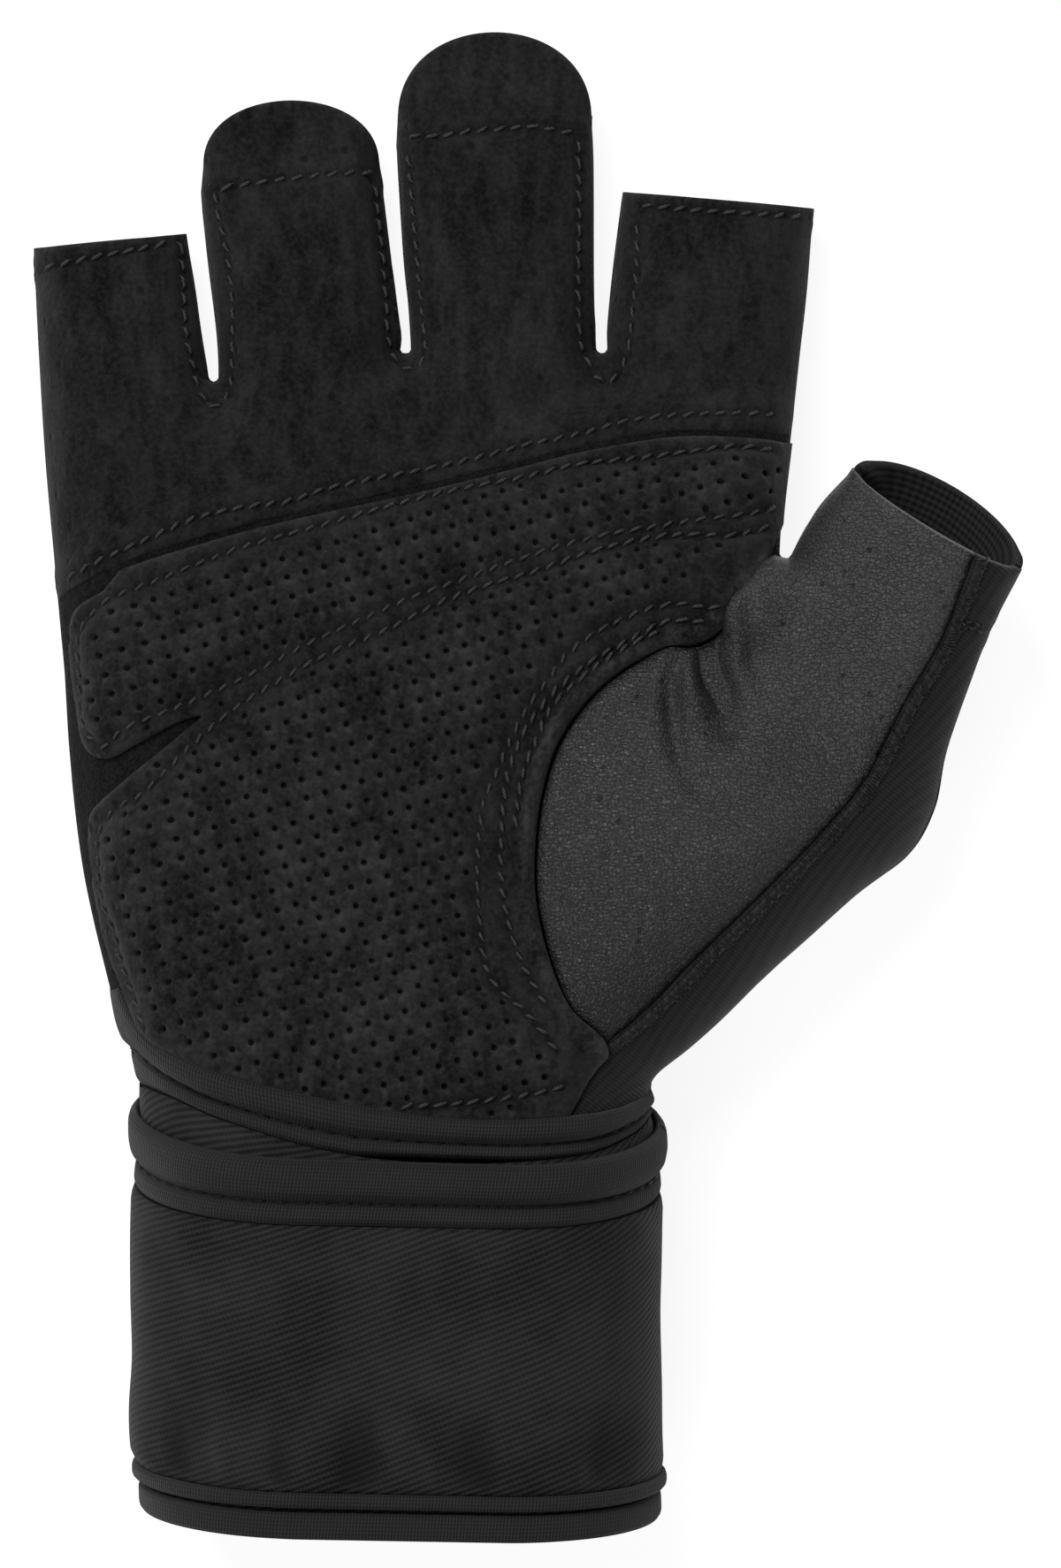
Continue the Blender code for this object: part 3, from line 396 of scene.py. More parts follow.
def even_line(points, step=EDGE_STEP):
    """The smooth line with its points an even step apart, and their places along it."""
    fine = smooth_line(points, step / 3)
    along = np.concatenate(([0.0], np.cumsum(np.linalg.norm(np.diff(fine, axis=0), axis=1))))
    places = np.linspace(0.0, along[-1], max(2, int(along[-1] / step) + 1))
    columns = [np.interp(places, along, fine[:, i]) for i in range(fine.shape[1])]
    return np.column_stack(columns), places


def thumb_axis():
    """The thumb's root, its direction, the direction across it, and its tip."""
    direction = np.array((math.cos(THUMB_ANGLE), math.sin(THUMB_ANGLE)))
    across = np.array((direction[1], -direction[0]))
    tip = INDEX_CROTCH + CROTCH_TO_TIP * direction + CROTCH_TO_AXIS * across
    return tip - direction * THUMB_LENGTH, direction, across, tip


def slit_points(slit):
    """A slit's two sides joined by the half round of its bottom."""
    down, centre, back = slit
    turns = [math.pi * (1.1 + 0.2 * i) for i in range(5)]
    bottom = [palm_points([centre])[0] + SLIT_RADIUS * np.array((math.cos(a), math.sin(a)))
              for a in turns]
    parts = [palm_points(down), bottom] + ([palm_points(back)] if back else [])
    return np.vstack(parts)


INDEX_CROTCH = palm_points([THUMB_CROTCH[1]])[0] - (0.0, SLIT_RADIUS)
THUMB_ROOT, THUMB_DIRECTION, THUMB_ACROSS, THUMB_TIP = thumb_axis()
RIM_LEFT = THUMB_TIP - THUMB_ACROSS * THUMB_WIDTH / 2
RIM_RIGHT = THUMB_TIP + THUMB_ACROSS * THUMB_WIDTH / 2


def thumb_rim(face, count=44):
    """The thumb's open end, from its left to its right, on the top or the under face."""
    reach = THUMB_DEPTH / 2 * math.sin(THUMB_RISE)
    angle = np.linspace(0.0, math.pi, count)[:, None]
    slant = (THUMB_RIM_SLANT - face * reach) * np.sin(angle)
    return (THUMB_TIP - THUMB_ACROSS * THUMB_WIDTH / 2 * np.cos(angle)
            + THUMB_DIRECTION * slant)


def thumb_outer_side():
    """From the ball of the thumb to the right end of the rim."""
    ball = mixed_points(BALL_SIDE[:1])[0]
    hollow = THUMB_ACROSS * THUMB_WIDTH * 0.026
    return np.array([ball, ball * 0.6 + RIM_RIGHT * 0.4 - hollow,
                     ball * 0.33 + RIM_RIGHT * 0.67 - hollow, RIM_RIGHT])


def side_lines():
    """The closed sides of the form, each with the inside on its right hand."""
    left = smooth_line(mixed_points(LEFT_SIDE))
    slits = [smooth_line(slit_points(slit)) for slit in SLITS]
    crotch = slit_points(THUMB_CROTCH)
    bowed = crotch[-1] * 0.5 + RIM_LEFT * 0.5 - THUMB_ACROSS * THUMB_WIDTH * 0.03
    inner = smooth_line(np.vstack((crotch, bowed, RIM_LEFT)))
    outer = smooth_line(np.vstack((thumb_outer_side()[::-1], mixed_points(BALL_SIDE[1:]))))
    return [left] + slits + [inner, outer]


SIDES = side_lines()
LEFT_LINE = SIDES[0]
RIGHT_LINE = SIDES[-1]
WRIST_RIGHT_LINE = RIGHT_LINE[len(RIGHT_LINE) // 3:]


def extended(line):
    """The line with its free ends carried straight on past the cloth's end."""
    start, end = line[0] - line[1], line[-1] - line[-2]
    first = line[0] + start / np.linalg.norm(start) * SIDE_REACH
    last = line[-1] + end / np.linalg.norm(end) * SIDE_REACH
    return np.vstack((first, line, last))


SEGMENTS = [(line[:-1], line[1:]) for line in map(extended, SIDES)]
SEGMENT_STARTS = np.vstack([start for start, end in SEGMENTS])
SEGMENT_ENDS = np.vstack([end for start, end in SEGMENTS])


def nearest_on(points, starts, ends):
    """For each point: distance to the nearest segment, its index and the offset from it."""
    step = ends - starts
    length = np.maximum((step ** 2).sum(axis=1), 1e-16)
    found = []
    for part in np.array_split(points, max(1, len(points) * len(starts) // (CHUNK * 700))):
        away = part[:, None, :] - starts[None]
        share = np.clip((away * step[None]).sum(axis=2) / length, 0.0, 1.0)
        offset = away - share[..., None] * step[None]
        distance = np.sqrt((offset ** 2).sum(axis=2))
        nearest = distance.argmin(axis=1)
        rows = np.arange(len(part))
        found.append((distance[rows, nearest], nearest, offset[rows, nearest],
                      share[rows, nearest]))
    return [np.concatenate(column) for column in zip(*found)]


def side_distance(points):
    """Distance to the nearest side of the form and the direction inwards from it."""
    best, nearest, direct, _ = nearest_on(points, SEGMENT_STARTS, SEGMENT_ENDS)
    step = SEGMENT_ENDS[nearest] - SEGMENT_STARTS[nearest]
    inward = np.stack((step[:, 1], -step[:, 0]), axis=1)
    inward /= np.linalg.norm(inward, axis=1)[:, None]
    close = (best < GAP * 0.1) | ((best < STRAY) & ((direct * inward).sum(axis=1) < 0.0))
    direct = np.where(close[:, None], inward, direct / np.maximum(best, 1e-12)[:, None])
    return np.where(close, 0.0, best), direct


def from_side(points, reach):
    """0 at the form's sides and 1 from the reach inwards."""
    return smoothstep(0.0, reach, side_distance(points)[0])


def line_place(points, line):
    """Distance from each point to a line, and how far along the line it lies."""
    distance, nearest, _, share = nearest_on(points, line[:-1], line[1:])
    steps = np.linalg.norm(np.diff(line, axis=0), axis=1)
    along = np.concatenate(([0.0], np.cumsum(steps)))
    return distance, along[nearest] + share * steps[nearest]


def outline_gap(points, outline):
    """Distance from each point to the closed outline."""
    return nearest_on(points, outline, np.roll(outline, -1, axis=0))[0]


def inside_outline(points, outline):
    """Whether each point lies inside the closed outline."""
    ax, ay = outline[:, 0], outline[:, 1]
    bx, by = np.roll(ax, -1), np.roll(ay, -1)
    rise = np.where(np.abs(by - ay) < 1e-12, 1e-12, by - ay)
    found = []
    for part in np.array_split(points, max(1, len(points) // CHUNK)):
        x, y = part[:, 0][:, None], part[:, 1][:, None]
        crosses = (ay > y) != (by > y)
        found.append((crosses & (x < ax + (y - ay) / rise * (bx - ax))).sum(axis=1) % 2 == 1)
    return np.concatenate(found)


def thumb_share(points):
    """0 on the palm and 1 on the thumb, and the place along the thumb's axis."""
    away = points - THUMB_ROOT
    along = away @ THUMB_DIRECTION / THUMB_LENGTH
    across = away @ THUMB_ACROSS / THUMB_WIDTH
    return smoothstep(*THUMB_ALONG, along) * smoothstep(*THUMB_SIDE, across), along


def tab_share(points):
    """0 on a finger's round part and 1 on its flat pull tab."""
    share = np.zeros(len(points))
    for left, right, end, reach in TABS:
        inside = (points[:, 0] > left * PALM_WIDTH - TAB_MARGIN)
        inside &= (points[:, 0] < right * PALM_WIDTH + TAB_MARGIN)
        past = smoothstep(-0.3 * reach, 0.6 * reach, points[:, 1] / PALM_LENGTH - end)
        share = np.where(inside, past, share)
    return share


def section_fields(points):
    """Underside, top and edge radius of the form at the points, without the edge's curve."""
    columns = curve_table(points[:, 1] / PALM_LENGTH, SECTIONS)
    wrist_low, finger_low, wrist_top, palm_top, finger_top, radius = columns.T
    radius = radius * EDGE_RADIUS
    low = np.maximum(wrist_low * WRIST_LOW + finger_low * FINGERTIP_LIFT, 0.0)
    height = wrist_top * WRIST_HEIGHT + palm_top * PALM_HEIGHT + finger_top * FINGER_HEIGHT
    ball = (points - THUMB_ROOT) / (PALM_WIDTH * 0.25, PALM_LENGTH * 0.36)
    ball[:, 1] += 0.25
    height = height + BALL_RISE * np.exp(-(ball ** 2).sum(axis=1))
    share, along = thumb_share(points)
    centre = THUMB_ROOT_HEIGHT + along * THUMB_LENGTH * math.tan(THUMB_RISE)
    low = low * (1 - share) + (centre - THUMB_DEPTH / 2) * share
    top = height * (1 - share) + (centre + THUMB_DEPTH / 2) * share
    radius = radius * (1 - share) + THUMB_EDGE_RADIUS * share
    return np.maximum(low, 0.0), top, radius


def form_points(points, face, offset=0.0, overlap=SIDE_OVERLAP):
    """Points of the form's top (face 1) or under (face -1) sheet, moved out by the offset."""
    points = np.asarray(points, dtype=float)
    distance, inward = side_distance(points)
    low, top, radius = section_fields(points)
    nudge = GAP
    slopes = []
    for axis in ((nudge, 0.0), (0.0, nudge)):
        ahead = section_fields(points + axis)
        slopes.append(((ahead[0] - low) / nudge, (ahead[1] - top) / nudge))
    middle = low + (top - low) * SEAM_LEVEL
    reach = np.minimum(distance / radius, 1.0)
    cosine = 1.0 - reach
    sine = np.sqrt(1.0 - cosine ** 2)
    if face > 0:
        rise = top - middle
        slope = np.stack((slopes[0][1], slopes[1][1]), axis=1)
        flat = tab_share(points)
    else:
        rise = middle - low
        slope = np.stack((slopes[0][0], slopes[1][0]), axis=1) * -1
        flat = np.zeros(len(points))
    base = middle - face * overlap / 2 + flat * TAB_RISE
    rise = rise * (1 - flat * (1 - TAB_FLATNESS))
    height = base + face * rise * sine
    side = -inward * (rise / radius * cosine * (1 - flat))[:, None] - slope * sine[:, None]
    upright = np.maximum(sine, flat) + 1e-9
    normal = np.column_stack((side, face * upright))
    normal /= np.linalg.norm(normal, axis=1)[:, None]
    where = np.column_stack((points, height))
    offset = np.broadcast_to(np.asarray(offset, dtype=float), (len(points),))
    return where + normal * offset[:, None]


def side_x(line, y):
    """The x of a side line where it crosses the heights y near the wrist."""
    order = np.argsort(line[:, 1])
    return np.interp(y, line[order, 1], line[order, 0])


def across_wrist(shares, y):
    """Plan points at shares of the way from the left side to the right, at the heights y."""
    left_x = side_x(LEFT_LINE, y)
    right_x = side_x(WRIST_RIGHT_LINE, y)
    return np.column_stack((left_x + (right_x - left_x) * shares, y))


def band_plan(shares, face, name):
    """Plan places of a line across the wrist: shares run from its left to its right."""
    left, right, drop = BAND_LINES[name]
    shares = np.asarray(shares, dtype=float)
    level = CUFF_MIDDLE + (left + (right - left) * shares) * CUFF_LENGTH
    y = level.copy()
    for _ in range(6 if name in PALM_LINES else 3):
        points = across_wrist(shares, y)
        distance, _ = side_distance(points)
        low, top, radius = section_fields(points)
        cosine = 1.0 - np.minimum(distance / radius, 1.0)
        half = (top - low) / 2
        y = level - face * drop * half * np.sqrt(1.0 - cosine ** 2)
        if name in PALM_LINES:
            places = points[:, 0] / PIXEL + PICTURE_CENTRE[0]
            seen = curve_table(places, PALM_LINES[name])[:, 0]
            y = np.where(face > 0, (PICTURE_CENTRE[1] - seen) * PIXEL, y)
    if name in PALM_LINES and np.any(np.asarray(face) < 0):
        ends = np.array((0.0, 1.0))
        step = (band_plan(ends, 1, name)[:, 1]
                - CUFF_MIDDLE - (left + (right - left) * ends) * CUFF_LENGTH)
        join = (step[0] * (1.0 - smoothstep(0.0, SIDE_JOIN, shares))
                + step[1] * smoothstep(1.0 - SIDE_JOIN, 1.0, shares))
        y = np.where(np.asarray(face) < 0, y + join, y)
    if name in KEPT_ABOVE:
        y = np.maximum(y, band_plan(shares, face, KEPT_ABOVE[name])[:, 1] + GAP * 2)
    return across_wrist(shares, y)


def sampled(points, step=EDGE_STEP):
    """A smooth line's points, closer together where the form's edge curves down."""
    fine = smooth_line(points, EDGE_STEP / 6)
    distance = side_distance(fine)[0]
    radius = section_fields(fine)[2]
    angle = np.arccos(1.0 - np.minimum(distance / radius, 1.0))
    kept = [0]
    for i in range(1, len(fine) - 1):
        gone = np.linalg.norm(fine[i] - fine[kept[-1]])
        left = np.linalg.norm(fine[i] - fine[-1])
        turned = abs(angle[i] - angle[kept[-1]]) > EDGE_TURN
        if (gone > step or turned) and left > EDGE_STEP / 8:
            kept.append(i)
    return fine[kept + [len(fine) - 1]]


def shifted(line, distance):
    """The line moved to its left by the distance."""
    steps = np.gradient(line, axis=0)
    steps /= np.linalg.norm(steps, axis=1)[:, None]
    distance = np.broadcast_to(np.asarray(distance, dtype=float), (len(line),))
    return line + np.column_stack((-steps[:, 1], steps[:, 0])) * distance[:, None]


def ring_points(shares, step):
    """Points at set shares of the edge radius in from every side line."""
    found = []
    for line in SIDES:
        line = even_line(line, step)[0]
        steps = np.gradient(line, axis=0)
        steps /= np.linalg.norm(steps, axis=1)[:, None]
        inward = np.column_stack((steps[:, 1], -steps[:, 0]))
        radius = section_fields(line)[2]
        for share in shares:
            moved = line + inward * (radius * share)[:, None]
            distance = side_distance(moved)[0]
            found.append(moved[np.abs(distance - radius * share) < radius * share * 0.08])
    return np.vstack(found)


def grid_points(spacing):
    """An even grid of points over the whole glove."""
    x_count = int(0.14 / spacing)
    y_count = int(0.21 / spacing / 0.87)
    columns, rows = np.meshgrid(np.arange(-x_count // 2, x_count // 2),
                                np.arange(-y_count // 2, y_count // 2))
    x = (columns + 0.5 * (rows % 2)) * spacing
    return np.column_stack((x.ravel(), (rows * spacing * 0.87).ravel()))


def inner_points(shares, step, spacing):
    """Mesh points of a panel: rings in from the sides and a grid over the rest."""
    rings = ring_points(shares, step)
    grid = grid_points(spacing)
    distance = side_distance(grid)[0]
    radius = section_fields(grid)[2]
    grid = grid[distance > radius * max(shares) + spacing * 0.5]
    return np.vstack((rings, grid))


FINE_POINTS = inner_points(FINE_RINGS, FINE, FINE)
COARSE_POINTS = inner_points(COARSE_RINGS, COARSE, COARSE)


def plan_mesh(outline, points, extra=None, clear_of_extra=0.0):
    """Triangles over the plan outline, through the points that lie in it."""
    points = points[inside_outline(points, outline)]
    if extra is not None:
        centres, extra_points = extra
        near = nearest_on(points, centres, centres + 1e-9)[0] < clear_of_extra
        points = np.vstack((extra_points, points[~near]))
    clear = outline_gap(points, outline)
    distance = side_distance(points)[0]
    points = points[clear > np.clip(distance * 0.45, FINE * 0.02, FINE * 0.5)]
    every = [tuple(map(float, p)) for p in np.vstack((outline, points))]
    found = delaunay_2d_cdt(every, [], [list(range(len(outline)))], 1, 1e-7)
    plan = np.array([(v[0], v[1]) for v in found[0]])
    return plan, [tuple(f) for f in found[2] if len(f) == 3]


def open_edges(faces):
    """The edges that only one triangle has, each the way its triangle turns."""
    edges = {(a, b) for face in faces for a, b in zip(face, face[1:] + face[:1])}
    return [(a, b) for a, b in edges if (b, a) not in edges]


def plan_key(point):
    return tuple(int(round(value * 1e7)) for value in point)


def make_piece(name, mesh, finish, replaced=None):
    """A finished object from a mesh, riding on the glove."""
    data = bpy.data.meshes.new(name)
    mesh.to_mesh(data)
    mesh.free()
    data.materials.append(FINISHES[finish])
    data.shade_smooth()
    piece = bpy.data.objects.new(name, data)
    bpy.context.scene.collection.objects.link(piece)
    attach(piece, "root")
    if replaced:
        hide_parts(replaced)
    return piece


def panel(name, replaced, outline, face, over, under, finish, extra=None, clear=0.0,
          ribs=None):
    """A wall of cloth over the form: over gives the outer offsets and the marks on it."""
    plan, faces = plan_mesh(outline, FINE_POINTS, extra, clear)
    inner_plan = COARSE_POINTS
    if ribs:
        near = [ribs(points, True) < RIBS_SEEN for points in (FINE_POINTS, COARSE_POINTS)]
        inner_plan = np.vstack((FINE_POINTS[near[0]], COARSE_POINTS[~near[1]]))
    lining, lining_faces = plan_mesh(outline, inner_plan)
    offsets, marks = over(plan)
    mesh = bmesh.new()
    # The seam attribute carries dark stitch marks with painted shade, the leather's painted shade
    # and light, and painted highlights as negative values.
    for layer_name in ("seam", "rib"):
        mesh.verts.layers.float.new(layer_name)
    layer, rib = mesh.verts.layers.float["seam"], mesh.verts.layers.float["rib"]
    outer = [mesh.verts.new(p) for p in form_points(plan, face, offsets) - CENTRE]
    for vertex, mark in zip(outer, marks):
        vertex[layer] = mark
    inner = [mesh.verts.new(p) for p in form_points(lining, face, under) - CENTRE]
    if ribs:
        for vertices, values in ((outer, ribs(plan, False)), (inner, ribs(lining, True))):
            for vertex, value in zip(vertices, values):
                vertex[rib] = value
    for vertices, triangles, turn in ((outer, faces, face), (inner, lining_faces, -face)):
        for triangle in triangles:
            mesh.faces.new([vertices[i] for i in triangle[::turn]])
    places = {plan_key(p): i for i, p in enumerate(lining)}
    for a, b in open_edges(faces):
        c, d = places.get(plan_key(plan[a])), places.get(plan_key(plan[b]))
        if c is not None and d is not None:
            corners = (outer[b], outer[a], inner[c], inner[d])
            mesh.faces.new(corners[::face])
    loose = [v for v in mesh.verts if not v.link_faces]
    bmesh.ops.delete(mesh, geom=loose, context="VERTS")
    return make_piece(name, mesh, finish, replaced)


def ripples(points, size, seed):
    """Soft uneven heights between about -1 and 1, with lumps of the given size."""
    return np.array([noise.noise(Vector((x / size, y / size, seed))) for x, y in points])


def lumps(points, rows):
    """Soft uneven heights from rows of height, size of a lump and seed."""
    return sum(height * ripples(points, size, seed) for height, size, seed in rows)


def rolled_edge(points, outline, depth=0.0005, width=0.0009):
    """How far the cut edge of a cloth rounds down, but for its seams at the form's sides."""
    share = np.clip(1.0 - outline_gap(points, outline) / width, 0.0, 1.0)
    free = np.maximum(smoothstep(0.0002, 0.0012, side_distance(points)[0]), tab_share(points))
    return -depth * free * share ** 2


def edge_highlight(points, outline, width=0.00045):
    """A painted highlight: a lighter line along a cloth's cut edge, where the edge catches the
    light.
    """
    share = bell(outline_gap(points, outline), width)
    free = smoothstep(0.0004, 0.0014, side_distance(points)[0])
    return -0.75 * share * free


def seam_line(row):
    """A stitched row's plan points, kept in from the sides of the form."""
    line = smooth_line(from_picture(row))
    for _ in range(3):
        best, nearest, offset, _ = nearest_on(line, SEGMENT_STARTS, SEGMENT_ENDS)
        step = SEGMENT_ENDS[nearest] - SEGMENT_STARTS[nearest]
        inward = unit(np.stack((step[:, 1], -step[:, 0]), axis=1))
        depth = (offset * inward).sum(axis=1)
        near = (best < 2 * SEAM_MARGIN) & (depth < SEAM_MARGIN)
        line = line + inward * np.where(near, SEAM_MARGIN - depth, 0.0)[:, None]
    return line


def drawn_in(points, rows, depth=0.00035, width=0.0006):
    """Offsets where rows of stitches draw the cloth in, and dark marks along them: needle holes
    with painted shade in the drawn-in groove.
    """
    offset = np.zeros(len(points))
    mark = np.zeros(len(points))
    for row in rows:
        line = even_line(seam_line(row))[0]
        near = np.where(inside_box(points, line, 0.003))[0]
        if not len(near):
            continue
        distance, along = line_place(points[near], line)
        pull = bell(distance, width)
        beat = np.cos(2 * math.pi * along / STITCH_PITCH)
        offset[near] -= depth * pull * (1.0 + 0.4 * beat)
        offset[near] += 0.45 * depth * bell(distance - 2.2 * width, width)
        # Dark along the row, most at the needle holes: partly painted shade in the groove.
        dark = bell(distance, width * 0.7) * (0.62 + 0.38 * beat)
        mark[near] = np.maximum(mark[near], dark)
    return offset, mark


def inside_box(points, line, margin):
    low, high = line.min(axis=0) - margin, line.max(axis=0) + margin
    return ((points > low) & (points < high)).all(axis=1)


def nearest_index(line, point):
    return int(np.linalg.norm(line - point, axis=1).argmin())


def cut_line(line, start, end):
    """The stretch of a line between its points nearest to start and end."""
    a, b = nearest_index(line, start), nearest_index(line, end)
    piece = line[a:b + 1] if a <= b else line[b:a + 1][::-1]
    return np.vstack((start, piece[1:-1], end))


def on_side(line, y):
    """The point of a side line at the height y."""
    order = np.argsort(line[:, 1])
    return np.array((np.interp(y, line[order, 1], line[order, 0]), y))


def tab_outline(row):
    """The round pull tab past a finger's end, from its left to its right."""
    left, right, end, reach = row
    angle = np.linspace(0.0, math.pi, 52)[1:-1]
    x = (left + right) / 2 - (right - left) / 2 * np.cos(angle)
    return palm_points(np.column_stack((x, end + reach * np.sin(angle) ** 0.75)))


def finger_tops(with_tabs):
    """The side lines from the little finger to the index, joined across the finger ends."""
    left, first, second, third, inner = SIDES[:5]
    crotch = nearest_index(inner, INDEX_CROTCH)
    little, ring, middle, index = [
        sampled((one[-1], two[0]))[1:-1]
        for one, two in ((left, first), (first, second), (second, third), (third, inner))]
    if with_tabs:
        ring, middle = tab_outline(TABS[0]), tab_outline(TABS[1])
    return [left, little, first, ring, second, middle, third, index, inner[:crotch + 1]]


def suede_seam(shift):
    """The suede's lower edge, moved up by the shift, between the two sides of the hand."""
    seam = shifted(smooth_line(palm_points(SUEDE_EDGE)), shift)
    left_end = on_side(LEFT_LINE, seam[0][1])
    right_end = on_side(finger_tops(False)[-1], seam[-1][1])
    inside = (seam[:, 0] > left_end[0] + GAP * 3) & (seam[:, 0] < right_end[0] - GAP * 3)
    return sampled(np.vstack((left_end, seam[inside], right_end)))


def suede_outline():
    """From its lower edge up the fingers and round the pull tabs."""
    seam = suede_seam(GAP / 2)
    parts = finger_tops(True)
    parts[0] = cut_line(LEFT_LINE, seam[0], LEFT_LINE[-1])
    parts[-1] = cut_line(parts[-1], parts[-1][0], seam[-1])
    return np.vstack(parts + [seam[::-1][1:-1]])


def wrist_edge(face):
    """Where the body's panels end above the cuff's top binding."""
    shares = 0.5 - 0.5 * np.cos(np.linspace(0.0, math.pi, 90))
    return across_wrist(shares, band_plan(shares, face, "cuff_top")[:, 1] - TAPE_COVER)


def hole_line(side):
    """The leather's edge round the thumb's hole down to the wrist, shifted off the seam."""
    hole = palm_points(HOLE_EDGE)
    wrist = wrist_edge(1)
    tail_x = hole[-1][0] - GUSSET_FOOT_WIDTH
    tail = np.array((tail_x, np.interp(tail_x, wrist[:, 0], wrist[:, 1])))
    line = sampled(np.vstack((hole, (hole[-1] + tail) / 2, tail)))
    line = shifted(line, side * GAP / 2)
    line[-1][1] = np.interp(line[-1][0], wrist[:, 0], wrist[:, 1])
    line[0] = INDEX_CROTCH + (side * GAP * 0.75, 0.0)
    return line


def base_outline():
    """From the suede's edge to the wrist, up to the thumb's hole."""
    seam = suede_seam(GAP * 3)
    wrist = wrist_edge(1)
    hole = hole_line(-1)
    wrist = wrist[wrist[:, 0] < hole[-1][0] - GAP]
    left = cut_line(LEFT_LINE, wrist[0], seam[0])
    right = cut_line(finger_tops(False)[-1], seam[-1], hole[0])
    return np.vstack((left, seam[1:-1], right, hole[1:], wrist[::-1][:-1]))


def gusset_line(side):
    """The seam between the leather and the gusset, from the rim to the hole's low tip."""
    rim = thumb_rim(1)
    start = rim[0] + (rim[-1] - rim[0]) * GUSSET_RIM_SHARE
    place = rim[nearest_index(rim, start)]
    line = sampled(np.vstack((place, palm_points(GUSSET_SEAM))))
    return shifted(line, side * CLOTH_GAP / 2)


def leather_outline():
    """Round the thumb's hole, up the seam to the rim and back to the crotch."""
    hole = hole_line(1)
    seam = gusset_line(-1)
    low_end = palm_points(HOLE_EDGE)[-1]
    tip = nearest_index(hole, low_end)
    rim = thumb_rim(1)
    stop = nearest_index(rim, seam[0])
    inner = SIDES[4]
    crotch = nearest_index(inner, INDEX_CROTCH)
    over = 1.0 - smoothstep(0.008, 0.014, np.linalg.norm(hole - hole[0], axis=1))
    away = smoothstep(0.0, 0.004, np.linalg.norm(hole - hole[0], axis=1))
    hole = shifted(hole, -LEATHER_LAP * over * away)
    low_point = low_end + (0.0, -GAP)
    return np.vstack((hole[:tip - 1], low_point, seam[::-1][2:], rim[:stop][::-1],
                      inner[crotch + 1:-1][::-1]))


def gusset_outline():
    """Between the leather's seam, the wrist, the right side and the rim."""
    seam = gusset_line(1)
    hole = hole_line(1)
    tip = nearest_index(hole, palm_points(HOLE_EDGE)[-1])
    wrist = wrist_edge(1)
    wrist = wrist[wrist[:, 0] > hole[-1][0] + GAP]
    rim = thumb_rim(1)
    start = nearest_index(rim, seam[0])
    side = cut_line(RIGHT_LINE, wrist[-1], RIM_RIGHT)
    return np.vstack((seam[:-1], hole[tip + 1:], wrist[:-1], side, rim[start + 1:-1][::-1]))


def back_outline():
    """The whole back, from the finger ends to the wrist."""
    wrist = wrist_edge(-1)
    parts = finger_tops(False)
    parts[0] = cut_line(LEFT_LINE, wrist[0], LEFT_LINE[-1])
    parts[-1] = SIDES[4]
    right = cut_line(RIGHT_LINE, RIM_RIGHT, wrist[-1])
    return np.vstack(parts + [thumb_rim(-1)[1:-1], right, wrist[1:-1][::-1]])


def pads_outline():
    """The overlay: two lobes joined at the channel, with the open slit on the left."""
    seam = suede_seam(-GAP * 3)
    lobe = smooth_line(palm_points(LOBE_EDGE))
    inner_side = finger_tops(False)[-1]
    right = cut_line(inner_side, seam[-1], on_side(inner_side, INDEX_CROTCH[1] + PAD_CORNER))
    seam = seam[seam[:, 0] > lobe[0][0] + GAP * 4][:-1]
    hole = hole_line(-1)
    hole = hole[np.linalg.norm(hole - hole[0], axis=1) > PAD_CORNER * 0.9]
    wrist = wrist_edge(1)
    wrist = wrist[(wrist[:, 0] < hole[-1][0] - GAP) & (wrist[:, 0] > lobe[-1][0] + GAP * 4)]
    return np.vstack((lobe[::-1], seam, right, hole, wrist[::-1]))


def suede_over(outline):
    """The upper suede: hemmed fingers, a stitched lower edge and soft hollows."""
    def over(plan):
        offset, mark = drawn_in(plan, list(FINGER_ROWS.values()) + [SUEDE_ROW])
        offset += rolled_edge(plan, outline)
        edge = smooth_line(palm_points(SUEDE_EDGE))
        above = line_place(plan, edge)[0]
        away = from_side(plan, 0.005)
        for middle, width, rise in SUEDE_WAVES:
            offset += rise * away * bell(above - middle, width)
        offset += away * lumps(plan, SUEDE_LUMPS)
        # Dark stitch marks; elsewhere a painted highlight along the cut edge.
        return offset, np.where(mark > MARK_SEEN, mark, edge_highlight(plan, outline) * 0.5)
    return over


def base_over(plan):
    """The sunken base cloth, level with its neighbours at the form's sides."""
    beside = 1.0 - from_side(plan, 0.0014)
    offset = BASE_TOP * (1.0 - 0.9 * beside) + lumps(plan, BASE_LUMPS)
    return offset, np.zeros(len(plan))


def lattice_holes(outline):
    """Centres of the perforations that the pads have."""
    first, second = np.array(LATTICE)
    centres = []
    for i in range(-40, 41):
        for j in range(-40, 41):
            centres.append(np.array(LATTICE_START) + i * first + j * second)
    centres = from_picture(centres)
    centres += 0.00008 * np.column_stack((ripples(centres, 0.003, 5.0),
                                          ripples(centres, 0.003, 9.0)))
    centres = centres[inside_outline(centres, outline)]
    centres = centres[outline_gap(centres, outline) > HOLE_MARGIN * 1.3]
    for row in (UPPER_PAD_ROW, LOWER_PAD_ROW, WRIST_ROW) + HOLE_ROWS[:1]:
        distance = line_place(centres, even_line(from_picture(row))[0])[0]
        centres = centres[distance > HOLE_MARGIN + HOLE_RADIUS * 0.4]
    hole_edge = smooth_line(palm_points(HOLE_EDGE))
    return centres[line_place(centres, hole_edge)[0] > 0.0072]


def hole_rings(centres):
    """Mesh points of every perforation: three rings and a middle."""
    turns = np.arange(8) * math.pi / 4
    circle = np.column_stack((np.cos(turns), np.sin(turns)))
    rings = [centres[:, None] + circle[None] * radius
             for radius in (HOLE_LIP, HOLE_RADIUS, HOLE_FLOOR)]
    return np.vstack([ring.reshape(-1, 2) for ring in rings] + [centres])


